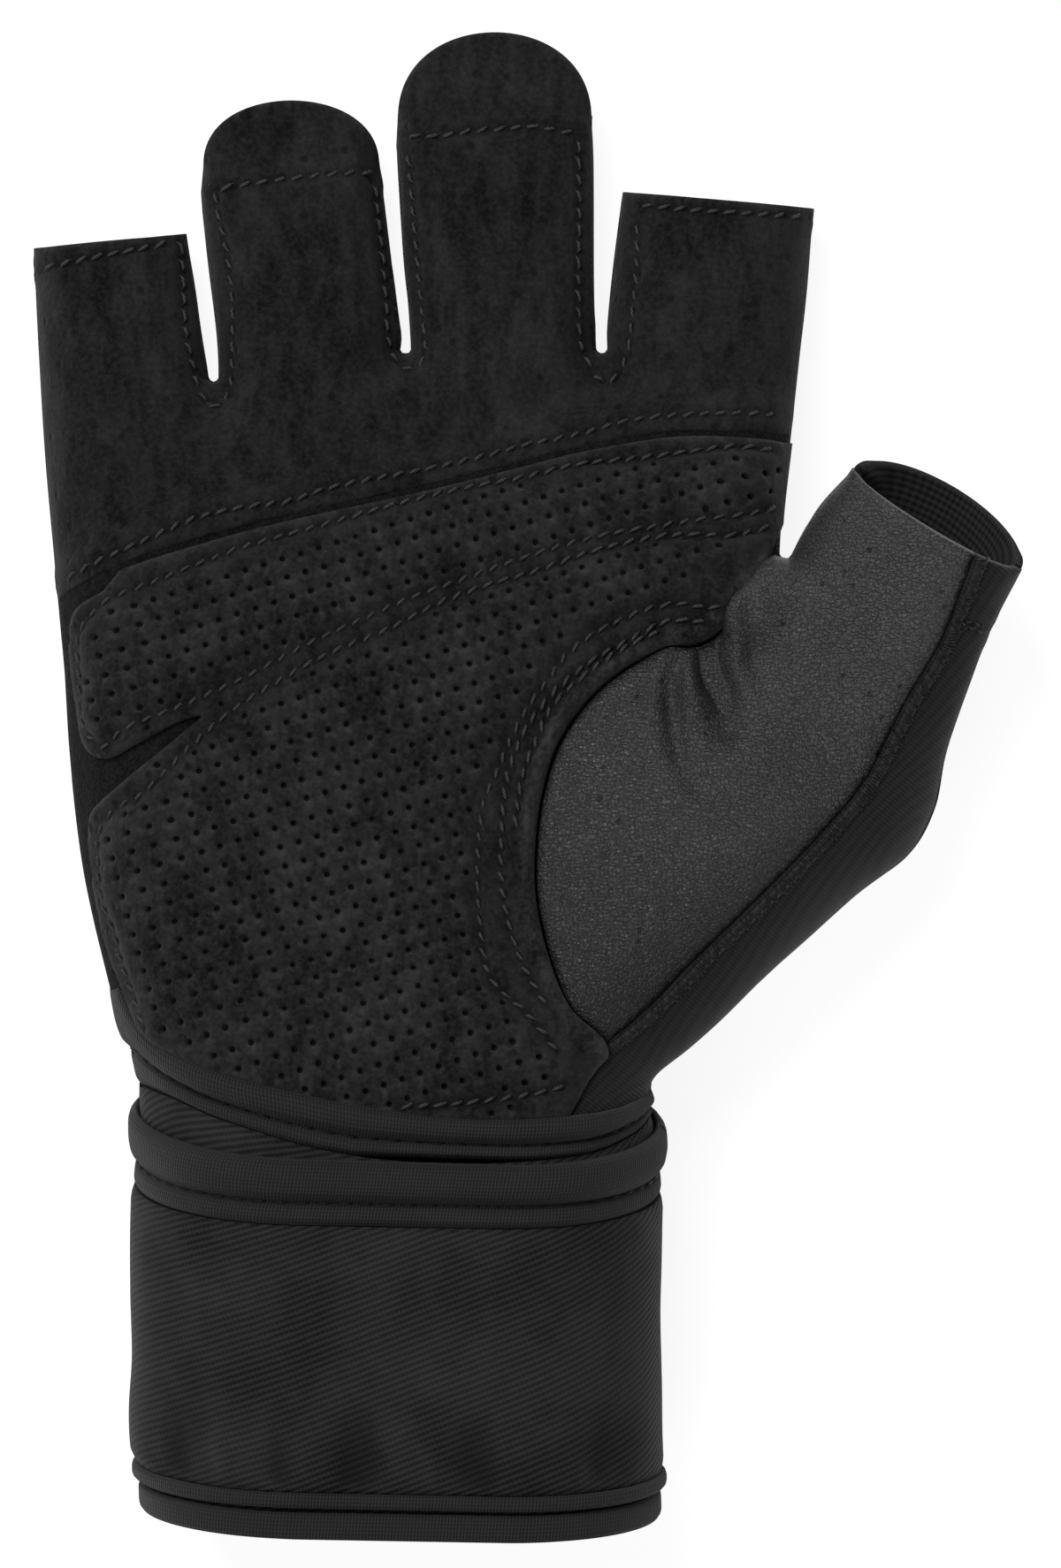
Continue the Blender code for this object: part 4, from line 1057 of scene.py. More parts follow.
def padded_areas():
    """The outlines of the two padded lobes inside their stitches."""
    lower = np.vstack((LOWER_PAD_ROW, WRIST_ROW, HOLE_ROWS[0][::-1]))
    return (smooth_line(from_picture(UPPER_PAD_ROW)), smooth_line(from_picture(lower)))


def pads_over(outline, centres):
    """The overlay: puffed lobes, flat flanges, stitched rows and perforations, with painted shade
    in the holes and painted highlights on their lips and the edges.
    """
    areas = padded_areas()

    def over(plan):
        inwards = side_distance(plan)[0]
        thin = 1.0 - 0.72 * (1.0 - smoothstep(0.0, 0.0028, inwards))
        calm = smoothstep(0.0, 0.004, inwards)
        offset = PAD_BASE + PAD_THICKNESS * thin
        for area in areas:
            inside = inside_outline(plan, area)
            gap = outline_gap(plan[inside], area)
            share = np.clip(gap / PAD_EDGE, 0.0, 1.0)
            offset[inside] += PAD_RISE * np.sin(share * math.pi / 2)
        rows = (UPPER_PAD_ROW, LOWER_PAD_ROW, WRIST_ROW) + HOLE_ROWS
        drawn, mark = drawn_in(plan, rows, 0.0005, 0.0007)
        offset += drawn * calm + rolled_edge(plan, outline, 0.0007, 0.0011)
        rim = line_place(plan, smooth_line(palm_points(HOLE_EDGE)))[0]
        offset += 0.0006 * bell(rim - 0.0013, 0.0009)
        offset += calm * lumps(plan, PAD_LUMPS)
        away, _, aside, _ = nearest_on(plan, centres, centres + 1e-9)
        lower = np.clip(-aside[:, 1] / np.maximum(away, 1e-6), 0.0, 1.0)
        depth = HOLE_DEPTH * (1.0 - 0.35 * np.abs(ripples(plan, *HOLE_UNEVEN)))
        well = smoothstep(HOLE_RADIUS * 0.98, HOLE_FLOOR * 1.02, away)
        offset -= depth * well + 0.00030 * bell(away, 0.00085)
        # Stitch marks, and painted shade in every hole.
        dark = np.maximum(mark, well)
        # Painted highlight: a light crescent on the lower lip of each hole, as if lit from above.
        lip_highlight = bell(away - 0.00070, 0.00026)
        ring = -lip_highlight * (0.20 + 1.1 * lower) * (1.0 - mark)
        # Painted highlight along the raised rim by the thumb's hole; the next line gathers every
        # painted highlight.
        rim_highlight = -1.2 * bell(rim - 0.0011, 0.0009)
        light = np.minimum(np.minimum(edge_highlight(plan, outline), rim_highlight), ring)
        return offset, np.where(dark > MARK_SEEN, dark, light)
    return over


def leather_over(outline):
    """The thumb's leather: creases from the crotch, a lap over the palm, a soft edge, and marks of
    painted shade and painted light.
    """
    def over(plan):
        offset = rolled_edge(plan, outline, 0.0004, 0.0009)
        for points, depth, width in FOLDS:
            line = even_line(from_picture(points))[0]
            distance, along = line_place(plan, line)
            fade = 1.0 - 0.75 * smoothstep(0.35, 1.0, along / along.max())
            crease = bell(distance, width)
            swell = bell(distance - 2.0 * width, 1.3 * width)
            offset += fade * depth * (0.35 * swell - crease)
        edge = hole_line(1)
        distance, along = line_place(plan, edge)
        lap = (1.0 - smoothstep(0.009, 0.015, along)) * (1.0 - smoothstep(0.0, 0.007, distance))
        offset += LEATHER_RISE * lap * smoothstep(0.0, 0.003, along)
        offset += lumps(plan, LEATHER_LUMPS)
        hem = thumb_tip_gap(plan)
        offset += 0.0002 * bell(hem, 0.0006)
        # Painted shade, slight all over and stronger at the foot and by the crotch; painted light
        # on the thumb tube as negative marks.
        low = 0.02 + FOOT_PAINTED_SHADE * (1.0 - smoothstep(*FOOT_FADE, plan[:, 1]))
        away = np.linalg.norm(plan - from_picture((CROTCH_PLACE,))[0], axis=1)
        tube = thumb_share(plan)[0]
        dark = (low + CROTCH_PAINTED_SHADE * bell(away, CROTCH_REACH)) * (1.0 - tube)
        return offset, dark - TUBE_PAINTED_LIGHT * tube
    return over


def thumb_tip_gap(plan):
    """Distance from the thumb's rim."""
    return line_place(plan, thumb_rim(1))[0]


def back_ribs(plan, inside):
    """Places across the back's ribs: they run round the thumb's mouth on the inside."""
    if inside:
        return line_place(plan, thumb_rim(-1))[0]
    return plan @ THUMB_DIRECTION


def gusset_over(outline):
    """The knit side of the thumb, doubled at its hem."""
    def over(plan):
        offset = rolled_edge(plan, outline, 0.0003, 0.0006)
        hem = thumb_tip_gap(plan)
        free = from_side(plan, 0.0025)
        offset += HEM_RISE * free * (1.0 - smoothstep(*HEM_STEP, hem))
        offset += lumps(plan, KNIT_LUMPS)
        drawn, mark = drawn_in(plan, (HEM_ROW,), 0.0002, 0.0008)
        return offset + drawn, mark * 0.4
    return over


def back_over(outline):
    """The plain knit back."""
    def over(plan):
        offset = rolled_edge(plan, outline, 0.0003, 0.0006)
        offset += 0.0002 * np.minimum(ripples(plan, 0.012, 5.9), 0.0)
        return offset, np.zeros(len(plan))
    return over


def add_lower_lines():
    """Each cloth starts a gap below the binding over it."""
    PALM_LINES["cuff_body"] = [(x, y + CLOTH_GAP / PIXEL)
                               for x, y in PALM_LINES["cuff_flange"]]
    for name, above in (("cuff_body", "cuff_flange"), ("wrap_body", "wrap_flange"),
                        ("cuff_foot", "cuff_hem"), ("wrap_foot", "wrap_hem")):
        left, right, drop = BAND_LINES[above]
        BAND_LINES[name] = (left - CLOTH_GAP / CUFF_LENGTH, right - CLOTH_GAP / CUFF_LENGTH,
                            drop)
    left, right, drop = BAND_LINES["cuff_bottom"]
    BAND_LINES["cuff_end"] = (left + TAPE_COVER / CUFF_LENGTH, right + TAPE_COVER / CUFF_LENGTH,
                              drop)


def turn_places(turns):
    """Share across the wrist and face at steps round the section."""
    steps = np.mod(turns, 2 * SECTION_COUNT)
    top = steps < SECTION_COUNT
    angle = math.pi * np.where(top, steps, steps - SECTION_COUNT) / SECTION_COUNT
    share = 0.5 - 0.5 * np.cos(angle)
    return np.where(top, share, 1.0 - share), np.where(top, 1.0, -1.0)


def turn_points(turns, upper, lower, share, offsets):
    """Points between two wrist lines at steps round the section, moved out by the offsets."""
    across, face = turn_places(turns)
    y = (band_plan(across, face, upper)[:, 1] * (1 - share)
         + band_plan(across, face, lower)[:, 1] * share)
    plan = across_wrist(across, y)
    over = form_points(plan, 1, offsets, 0.0)
    under = form_points(plan, -1, offsets, 0.0)
    side = np.minimum(across, 1 - across)[:, None] < 1e-6
    return np.where(side, (over + under) / 2, np.where(face[:, None] > 0, over, under))


def even_turns(start, end, step=TURN_STEP):
    """Steps round the section an even distance apart, and the distance gone."""
    turns = np.arange(start, end + 0.05, 0.1)
    points = turn_points(turns, "wrap_top", "wrap_bottom", 0.5, 0.0)
    gone = np.concatenate(([0.0], np.cumsum(np.linalg.norm(np.diff(points, axis=0), axis=1))))
    count = int(gone[-1] / step)
    places = np.linspace(0.0, gone[-1], count + 1)
    return np.interp(places, gone, turns), places


def lap_shift(turns):
    """How far the wrap's lap is lifted over the first turn."""
    return LAP_RISE * smoothstep(LAP_START - LAP_CLIMB, LAP_START, turns)


def flatness(turns):
    """1 on the flattened back and 0 on the palm side."""
    share = np.mod(turns, 2 * SECTION_COUNT) / (2 * SECTION_COUNT)
    return smoothstep(0.5, 0.57, share) * (1 - smoothstep(0.93, 1.0, share))


def swept(name, replaced, turns, along, rows, finish, closed):
    """Sweeps rows of (upper, lower, share, offsets, painted shadow mark) round the wrist, closed.
    """
    rings = np.array([turn_points(turns, *row[:4]) - CENTRE for row in rows])
    marks = [np.broadcast_to(row[4] if len(row) > 4 else 0.0, turns.shape) for row in rows]
    drops = np.linalg.norm(np.diff(rings[:, len(turns) // 3], axis=0), axis=1)
    down = np.concatenate(([0.0], np.cumsum(drops)))
    mesh = bmesh.new()
    layer = mesh.loops.layers.uv.new("UVMap")
    count = len(turns) - (1 if closed else 0)
    # The seam attribute here holds the painted shadow in the wrap's gathers.
    seam = mesh.verts.layers.float.new("seam")
    vertices = [[mesh.verts.new(rings[r, t]) for t in range(count)] for r in range(len(rows))]
    for ring, dark in zip(vertices, marks):
        for vertex, value in zip(ring, dark):
            vertex[seam] = value
    for r in range(len(rows)):
        below = (r + 1) % len(rows)
        for t in range(count if closed else count - 1):
            beside = (t + 1) % count
            face = mesh.faces.new((vertices[r][t], vertices[below][t],
                                   vertices[below][beside], vertices[r][beside]))
            places = ((along[t], down[r]), (along[t], down[below]),
                      (along[t + 1], down[below]), (along[t + 1], down[r]))
            for loop, place in zip(face.loops, places):
                loop[layer].uv = place
    if not closed:
        mesh.faces.new([ring[0] for ring in vertices])
        mesh.faces.new([ring[-1] for ring in vertices][::-1])
    bmesh.ops.recalc_face_normals(mesh, faces=mesh.faces)
    return make_piece(name, mesh, finish, replaced)


def tape_offset(rise, turns, along, base, puff, flat, lapped):
    """How far out a rolled tape lies at a rise, at each step round the section."""
    press = flatness(turns)
    lift = lap_shift(turns) if lapped else 0.0
    across, face = turn_places(turns)
    beside = 1.0 - smoothstep(0.0, 0.16, np.minimum(across, 1.0 - across))
    plump = 1.0 + 0.05 * ripples(np.column_stack((along, along * 0)), 0.013, 3.3)
    round_part = puff * rise * plump * (1.0 - 0.48 * beside) * (1 - press)
    return base + round_part + flat * np.minimum(rise / 0.8, 1.0) * press + lift


def binding_rows(upper, lower, turns, along, *tape):
    """A rolled tape: a round top edge, a stitched groove and a thin flange."""
    shares = np.linspace(0.0, 1.0, TAPE_ROWS)
    rises = curve_table(shares, BINDING_RISE)[:, 0]
    beat = np.cos(2 * math.pi * along / (STITCH_PITCH * 1.3))
    rows = []
    for share, rise in zip(shares, rises):
        groove = bell(share - TAPE_SEAM, 0.05)
        bent = np.maximum(rise - 0.05 * groove * beat, 0.05)
        rows.append((upper, lower, share, tape_offset(bent, turns, along, *tape)))
    inside = tape_offset(0.0, turns, along, *tape)
    return rows + [(upper, lower, 1.0, inside), (upper, lower, 0.0, inside)]


def strip_rows(upper, lower, turns, outside, inside, count, relief=None, lapped=False):
    """A flat cloth between two lines, with a relief given by (turn places, share)."""
    lift = lap_shift(turns) if lapped else np.zeros(len(turns))
    shares = np.linspace(0.0, 1.0, count)
    rows = []
    for share in shares:
        end = min(share, 1.0 - share) * count
        rolled = 0.35 * TWILL_THICKNESS * max(0.0, 1.0 - end / 1.5)
        folds = relief(share) if relief else 0.0
        shadow = 0.62 * smoothstep(0.0001, FOLD_LIMIT, -folds) if relief else 0.0
        rows.append((upper, lower, share, outside + lift - rolled + folds, shadow))
    return rows + [(upper, lower, share, inside + lift) for share in shares[::-1]]


def wrap_relief(turns, along):
    """Soft waves of the stretched twill and the gathers above its lower binding."""
    across, face = turn_places(turns)
    plan = across_wrist(across, np.full(len(turns), BAND_LINES["wrap_hem"][0] * CUFF_LENGTH))
    x = plan[:, 0] / PIXEL + PICTURE_CENTRE[0]
    length = (BAND_LINES["wrap_body"][0] - BAND_LINES["wrap_hem"][0]) * CUFF_LENGTH
    front = np.where(face > 0, 1.0, 0.0)

    def relief(share):
        up = (1.0 - share) * length
        fade = 1.0 - smoothstep(0.002, GATHER_TOP, up)
        folds = 0.00025 * ripples(np.column_stack((along, along * 0 + up)), 0.011, 2.0)
        lean = (x - 450.0) * 0.0006 * up / GATHER_TOP
        for place, width, depth in GATHERS:
            spread = width * (1.0 + 0.5 * up / GATHER_TOP)
            away = (x - place - 40.0 * lean) / spread
            fold = bell(away, 1.0) - 0.5 * bell(np.abs(away) - 1.9, 1.0)
            folds = folds - 1.9 * front * fade * depth * fold
        folds = FOLD_LIMIT * np.tanh(folds / FOLD_LIMIT)
        at_hem = 1.0 - smoothstep(0.0, 0.002, up)
        return folds * (1.0 - 0.8 * at_hem)
    return relief


def make_wrist():
    """The cuff and the wound wrap with their bindings, and the patch under the lap."""
    around = even_turns(0, 2 * SECTION_COUNT)
    wound = even_turns(LAP_START - 2 * SECTION_COUNT, LAP_END)
    patch = even_turns(LAP_START + 1, LAP_END - 1, TURN_STEP * 2)
    inside = GAP + TWILL_THICKNESS + GAP
    pieces = (
        # piece, CAD node, steps round the section, rows, finish
        ("cuff_tape_top", "cuff_binding_top", around,
         binding_rows("cuff_top", "cuff_flange", *around, *CUFF_TAPE), "binding_knit"),
        ("cuff_twill", "wrist_cuff", around,
         strip_rows("cuff_body", "cuff_end", around[0], 0.0, -TWILL_THICKNESS, 44), "twill"),
        ("cuff_tape_bottom", "cuff_binding_bottom", around,
         strip_rows("cuff_hem", "cuff_bottom", around[0], 0.0010, -TWILL_THICKNESS - GAP, 9),
         "binding_knit"),
        ("wrap_tape_top", "wrap_binding_top", wound,
         binding_rows("wrap_top", "wrap_flange", *wound, *WRAP_TAPE), "binding_knit"),
        ("wrap_twill", "wrist_wrap", wound,
         strip_rows("wrap_body", "wrap_hem", wound[0], GAP + TWILL_THICKNESS, GAP, 44,
                    wrap_relief(*wound), True), "twill"),
        ("wrap_tape_bottom", "wrap_binding_bottom", wound,
         strip_rows("wrap_foot", "wrap_bottom", wound[0], GAP + BINDING_FLAT, GAP, 7,
                    lapped=True), "binding_knit"),
        ("wrap_closure", "wrap_patch", patch,
         strip_rows("wrap_body", "wrap_hem", patch[0], inside + PATCH_THICKNESS, inside, 20),
         "patch"),
    )
    for name, replaced, turns, rows, finish in pieces:
        swept(name, replaced, *turns, rows, finish, turns is around)


def stitch_points(centre, run, across, up, length, width, height):
    """Rings of one plump stitch that dips into the cloth at both ends."""
    rings = []
    for along, size, lift in ((-0.5, 0.25, -0.35), (-0.25, 0.9, 0.45), (0.25, 0.9, 0.45),
                              (0.5, 0.25, -0.35)):
        middle = centre + run * length * along + up * height * lift
        rings.append([middle + (across * math.cos(a) + up * math.sin(a)) * width / 2 * size
                      for a in (0.0, math.pi / 2, math.pi, 3 * math.pi / 2)])
    return rings


def add_stitch(mesh, *shape):
    """Adds one closed stitch to the mesh."""
    rings = [[mesh.verts.new(p) for p in ring] for ring in stitch_points(*shape)]
    for one, two in zip(rings, rings[1:]):
        for i in range(4):
            j = (i + 1) % 4
            mesh.faces.new((one[i], one[j], two[j], two[i]))
    mesh.faces.new(rings[0][::-1])
    mesh.faces.new(rings[-1])


def row_frames(line, face, offset):
    """Points of a row on the form with its run, sideways and upward directions."""
    points = form_points(line, face, offset)
    up = unit(form_points(line, face, offset + 0.001) - points)
    run = unit(np.gradient(points, axis=0))
    across = unit(np.cross(up, run))
    return points - CENTRE, run, across, unit(np.cross(run, across))


def sew(mesh, line, face, heights, seed, tilt=0.30, width=STITCH_WIDTH, pitch=STITCH_PITCH):
    """Stitches along a row of plan points; heights gives the cloth's offset there."""
    fine, places = even_line(line, pitch / 4)
    count = max(1, int(places[-1] / pitch))
    middles = (np.arange(count) + 0.5) * places[-1] / count
    centres = np.column_stack([np.interp(middles, places, fine[:, i]) for i in (0, 1)])
    if count < 2:
        return
    points, run, across, up = row_frames(centres, face, heights(centres))
    for i in range(count):
        wobble = math.sin(seed + 7.3 * i) * 0.12
        lean = tilt + wobble
        turned = run[i] * math.cos(lean) + across[i] * math.sin(lean)
        sideways = across[i] * math.cos(lean) - run[i] * math.sin(lean)
        length = pitch * (0.92 + 0.08 * math.sin(seed + 3.1 * i))
        add_stitch(mesh, points[i], turned, sideways, up[i], length, width, width)


def lift_of(over, extra):
    """The offset that a row of stitches lies at on a cloth."""
    return lambda plan: over(plan)[0] + extra


def sew_panels(reliefs):
    """The stitched rows of the suede, the pads and the leather."""
    suede = bmesh.new()
    for seed, row in enumerate(list(FINGER_ROWS.values()) + [SUEDE_ROW]):
        sew(suede, seam_line(row), 1, lift_of(reliefs["suede"], 0.00010), seed)
    pads = bmesh.new()
    for seed, row in enumerate((UPPER_PAD_ROW, LOWER_PAD_ROW, WRIST_ROW) + HOLE_ROWS):
        sew(pads, seam_line(row), 1, lift_of(reliefs["pads"], 0.00014), seed)
    hem = bmesh.new()
    line, places = even_line(seam_line(HEM_ROW), 0.00045)
    zigzag = line + np.column_stack((np.zeros(len(line)), 0.0006 * (-1.0) ** np.arange(len(line))))
    sew(hem, zigzag, 1, lift_of(reliefs["gusset"], 0.00012), 3, 0.0, 0.00035, 0.0009)
    make_piece("palm_stitches", suede, "thread")
    make_piece("pad_stitches", pads, "thread")
    make_piece("hem_stitches", hem, "thread")


def sew_band(name, upper, lower, turns, along, tape):
    """A row of stitches in the groove of a rolled tape."""
    mesh = bmesh.new()
    offsets = tape_offset(0.20, turns, along, *tape)
    points = turn_points(turns, upper, lower, TAPE_SEAM, offsets) - CENTRE
    ahead = turn_points(turns, upper, lower, TAPE_SEAM, offsets + 0.001) - CENTRE
    pitch = STITCH_PITCH * 1.3
    count = int(along[-1] / pitch)
    middles = (np.arange(count) + 0.5) * along[-1] / count
    run = np.gradient(points, axis=0)
    columns = []
    for field in (points, run, ahead - points):
        columns.append(np.column_stack([np.interp(middles, along, field[:, i])
                                        for i in range(3)]))
    centres, runs, ups = columns[0], unit(columns[1]), unit(columns[2])
    acrosses = unit(np.cross(ups, runs))
    for i in range(count):
        add_stitch(mesh, centres[i], runs[i], acrosses[i], ups[i], pitch * 0.8, 0.0004, 0.0004)
    return make_piece(name, mesh, "dark_thread")


def join_rings(mesh, rings):
    """A closed tube through the rings."""
    for one, two in zip(rings, rings[1:]):
        for i, start in enumerate(one):
            j = (i + 1) % len(one)
            mesh.faces.new((start, two[i], two[j], one[j]))
    mesh.faces.new(rings[0])
    mesh.faces.new(rings[-1][::-1])


def add_loop(mesh, centre, run, across, up, reach, thick, lean):
    """One small arch of thread over an edge."""
    rings = []
    for step in range(5):
        angle = math.pi * step / 4
        middle = (centre + across * reach * math.cos(angle) + up * reach * 0.55 * math.sin(angle)
                  + run * lean * math.cos(angle))
        outward = across * math.cos(angle) + up * math.sin(angle)
        rings.append([mesh.verts.new(middle + (outward * math.cos(a) + run * math.sin(a)) * thick)
                      for a in (0.0, 2.1, 4.2)])
    join_rings(mesh, rings)


def overlock(name, line, heights, reach, pitch):
    """Loops of thread that bind a raw edge, uneven as worked yarn is."""
    mesh = bmesh.new()
    fine, places = even_line(line, pitch)
    points, run, across, up = row_frames(fine, 1, heights(fine))
    shake = np.random.default_rng(17)
    for i in range(len(fine)):
        size = reach * shake.uniform(0.75, 1.1)
        lean = pitch * shake.uniform(-1.2, 1.6)
        moved = points[i] + across[i] * shake.uniform(-0.15, 0.15) * reach
        add_loop(mesh, moved, run[i], across[i], up[i], size, reach * 0.16, lean)
    core = [[mesh.verts.new(points[i] + reach * (CORE_WIDTH * across[i] * math.cos(angle)
                                                 - CORE_HEIGHT * up[i] * math.sin(angle)))
             for angle in np.arange(8) * math.pi / 4] for i in range(len(fine))]
    join_rings(mesh, core)
    return make_piece(name, mesh, "overlock_yarn")


def bind_edges(reliefs):
    """Yarn loops over the raw edges of the thumb's hole and of its knit side."""
    hole = shifted(hole_line(1), -0.0004)
    low_end = palm_points(HOLE_EDGE)[-1]
    hole = cut_line(hole, hole[nearest_index(hole, palm_points(HOLE_EDGE)[3])],
                    hole[nearest_index(hole, low_end)])
    seam = shifted(gusset_line(1), 0.0008)
    height = lift_of(reliefs["leather"], 0.0002)
    overlock("hole_edge_loops", hole, height, 0.00085, 0.00042)
    overlock("side_edge_loops", seam, lift_of(reliefs["gusset"], 0.0001), 0.00095, 0.00040)


class Field:
    """A socket of a material that takes part in sums as a number would."""

    def __init__(self, finish, socket):
        self.finish = finish
        self.socket = socket

    def maths(self, operation, *values):
        node = self.finish.node("ShaderNodeMath", {"operation": operation},
                                dict(enumerate(values)))
        return Field(self.finish, node.outputs[0])

    def __add__(self, other):
        return self.maths("ADD", self, other)

    def __sub__(self, other):
        return self.maths("SUBTRACT", self, other)

    def __rsub__(self, other):
        return self.maths("SUBTRACT", other, self)

    def __mul__(self, other):
        return self.maths("MULTIPLY", self, other)

    __radd__ = __add__
    __rmul__ = __mul__

    def wave(self):
        return self.maths("SINE", self)

    def between(self, low, high):
        node = self.finish.node("ShaderNodeMapRange", {"interpolation_type": "SMOOTHSTEP"},
                                {"Value": self, "From Min": low, "From Max": high})
        return Field(self.finish, node.outputs[0])


class Finish:
    """A procedural material."""

    def __init__(self, name, roughness, specular, sheen=0.0, sheen_roughness=0.5):
        self.material = bpy.data.materials.new(name)
        self.material.use_nodes = True
        self.tree = self.material.node_tree
        self.shader = self.tree.nodes["Principled BSDF"]
        self.shader.inputs["Roughness"].default_value = roughness
        self.shader.inputs["Specular IOR Level"].default_value = specular
        self.shader.inputs["Sheen Weight"].default_value = sheen
        self.shader.inputs["Sheen Roughness"].default_value = sheen_roughness

    def node(self, kind, settings, inputs):
        node = self.tree.nodes.new(kind)
        for name, value in settings.items():
            setattr(node, name, value)
        for name, value in inputs.items():
            self.feed(node.inputs[name], value)
        return node

    def feed(self, socket, value):
        source = value.socket if isinstance(value, Field) else value
        if isinstance(source, bpy.types.NodeSocket):
            self.tree.links.new(source, socket)
        else:
            socket.default_value = source

    def place(self, kind="Object"):
        return self.node("ShaderNodeTexCoord", {}, {}).outputs[kind]

    def turned(self, vector, angle=0.0, stretch=(1.0, 1.0, 1.0)):
        return self.node("ShaderNodeMapping", {}, {
            "Vector": vector, "Rotation": (0.0, 0.0, angle), "Scale": stretch}).outputs[0]

    def noise(self, vector, scale, detail=2.0, roughness=0.5):
        node = self.node("ShaderNodeTexNoise", {}, {
            "Vector": vector, "Scale": scale, "Detail": detail, "Roughness": roughness})
        return Field(self, node.outputs[0])

    def cells(self, vector, scale, feature="F1", randomness=1.0):
        node = self.node("ShaderNodeTexVoronoi", {"feature": feature}, {
            "Vector": vector, "Scale": scale, "Randomness": randomness})
        return Field(self, node.outputs["Distance"])

    def along(self, vector, direction):
        """The distance along a direction, for ribs that run across it."""
        node = self.node("ShaderNodeVectorMath", {"operation": "DOT_PRODUCT"},
                         {0: vector, 1: direction})
        return Field(self, node.outputs["Value"])

    def mark(self, name):
        node = self.node("ShaderNodeAttribute", {"attribute_name": name}, {})
        return Field(self, node.outputs["Fac"])

    def mixed(self, share, one, two):
        node = self.node("ShaderNodeMix", {"data_type": "RGBA"}, {})
        self.feed(node.inputs[0], share)
        self.feed(node.inputs[6], (*one, 1.0) if isinstance(one, tuple) else one)
        self.feed(node.inputs[7], (*two, 1.0) if isinstance(two, tuple) else two)
        return node.outputs[2]

    def colour(self, value):
        self.feed(self.shader.inputs["Base Color"], value)

    def bump(self, height, distance, strength=1.0):
        node = self.node("ShaderNodeBump", {}, {
            "Height": height, "Distance": distance, "Strength": strength})
        self.feed(self.shader.inputs["Normal"], node.outputs[0])


def grey(value, cool=1.04):
    """A grey with a slight cool cast."""
    return (value, value, value * cool)


def suede_finish(name, light, dark):
    """Napped pigskin: mottled nap and clusters of pores."""
    finish = Finish(name, 0.95, 0.06, 0.05, 0.6)
    place = finish.place()
    cloud = finish.noise(place, 70.0, 3.0, 0.6)
    nap = finish.noise(place, 1500.0, 2.0, 0.7)
    drag = finish.noise(finish.turned(place, 0.5, (1.0, 0.35, 1.0)), 420.0, 2.0, 0.6)
    pores = finish.cells(place, 330.0).between(0.10, 0.24)
    specks = finish.cells(place, 760.0).between(0.06, 0.20)
    tone = cloud.between(0.30, 0.72) * 0.35 + drag.between(0.32, 0.70) * 0.40
    tone = tone + nap.between(0.34, 0.70) * 0.40
    open_pore = pores * (specks * 0.5 + 0.5)
    # The seam mark darkens stitch rows with painted shade; its negative values are painted
    # highlights, and the scaled mix lets them go brighter.
    shade = tone * (open_pore * 0.55 + 0.45) * (1.0 - finish.mark("seam") * 0.85)
    finish.colour(finish.mixed(shade * 0.7, grey(dark), grey(light / 0.7)))
    finish.bump(nap * 0.55 + drag * 0.6 + pores * 0.6, 0.00028, 1.0)
    return finish.material


def leather_finish():
    """Smooth thumb leather: fine cells, drawn wrinkles and pores in small groups."""
    finish = Finish("thumb_leather_grain", 0.47, 0.42)
    place = finish.place()
    warped = finish.noise(place, 180.0, 2.0)
    bent = finish.node("ShaderNodeVectorMath", {"operation": "MULTIPLY_ADD"}, {
        0: finish.node("ShaderNodeTexNoise", {}, {"Vector": place, "Scale": 160.0,
                                                  "Detail": 2.0}).outputs[1],
        1: (0.0012, 0.0012, 0.0012), 2: place}).outputs[0]
    long_cells = finish.cells(finish.turned(bent, 0.35, (1.0, 2.6, 1.0)), 760.0,
                              "DISTANCE_TO_EDGE").between(0.0, 0.20)
    cells = finish.cells(bent, 1900.0, "DISTANCE_TO_EDGE").between(0.0, 0.25)
    pores = finish.cells(place, 300.0).between(0.06, 0.15)
    cloud = finish.noise(place, 60.0, 2.0)
    tone = cloud * 0.3 + cells * 0.35 + long_cells * 0.35
    # The seam mark on the leather is painted shade at its foot and crotch, and painted light on
    # the thumb where it is negative.
    shade = tone * pores * (1.0 - finish.mark("seam")) * 0.62
    finish.colour(finish.mixed(shade, grey(0.007), grey(0.064)))
    finish.feed(finish.shader.inputs["Roughness"], 0.40 + warped * 0.16)
    folds = finish.noise(finish.turned(bent, 0.2, (1.0, 3.0, 1.0)), 240.0, 3.0, 0.6)
    finish.bump(long_cells * 0.45 + cells * 0.4 + pores * 0.7 + folds * 1.1, 0.00017, 0.95)
    return finish.material


def knit_finish(name, ribs, courses, rib_pitch, course_pitch, light, dark):
    """Fine ribs with courses across them, on the piece's own place."""
    finish = Finish(name, 0.85, 0.12, 0.08, 0.4)
    place = finish.place()
    uneven = finish.noise(place, 500.0, 2.0) * 1.3
    rib_place = finish.along(place, ribs) if ribs else finish.mark("rib")
    rib = (rib_place * (2 * math.pi / rib_pitch) + uneven).wave()
    course = (finish.along(place, courses) * (2 * math.pi / course_pitch) + uneven).wave()
    cloud = finish.noise(place, 90.0, 3.0)
    height = rib * 0.32 + course * 0.22 + 0.5
    shade = height.between(0.0, 1.0) * 0.72 + cloud * 0.30
    # The seam mark darkens the hem's stitch row: needle holes with painted shade.
    shade = shade * (1.0 - finish.mark("seam") * 0.8)
    finish.colour(finish.mixed(shade, grey(dark), grey(light)))
    finish.bump(height, 0.00012, 0.8)
    return finish.material


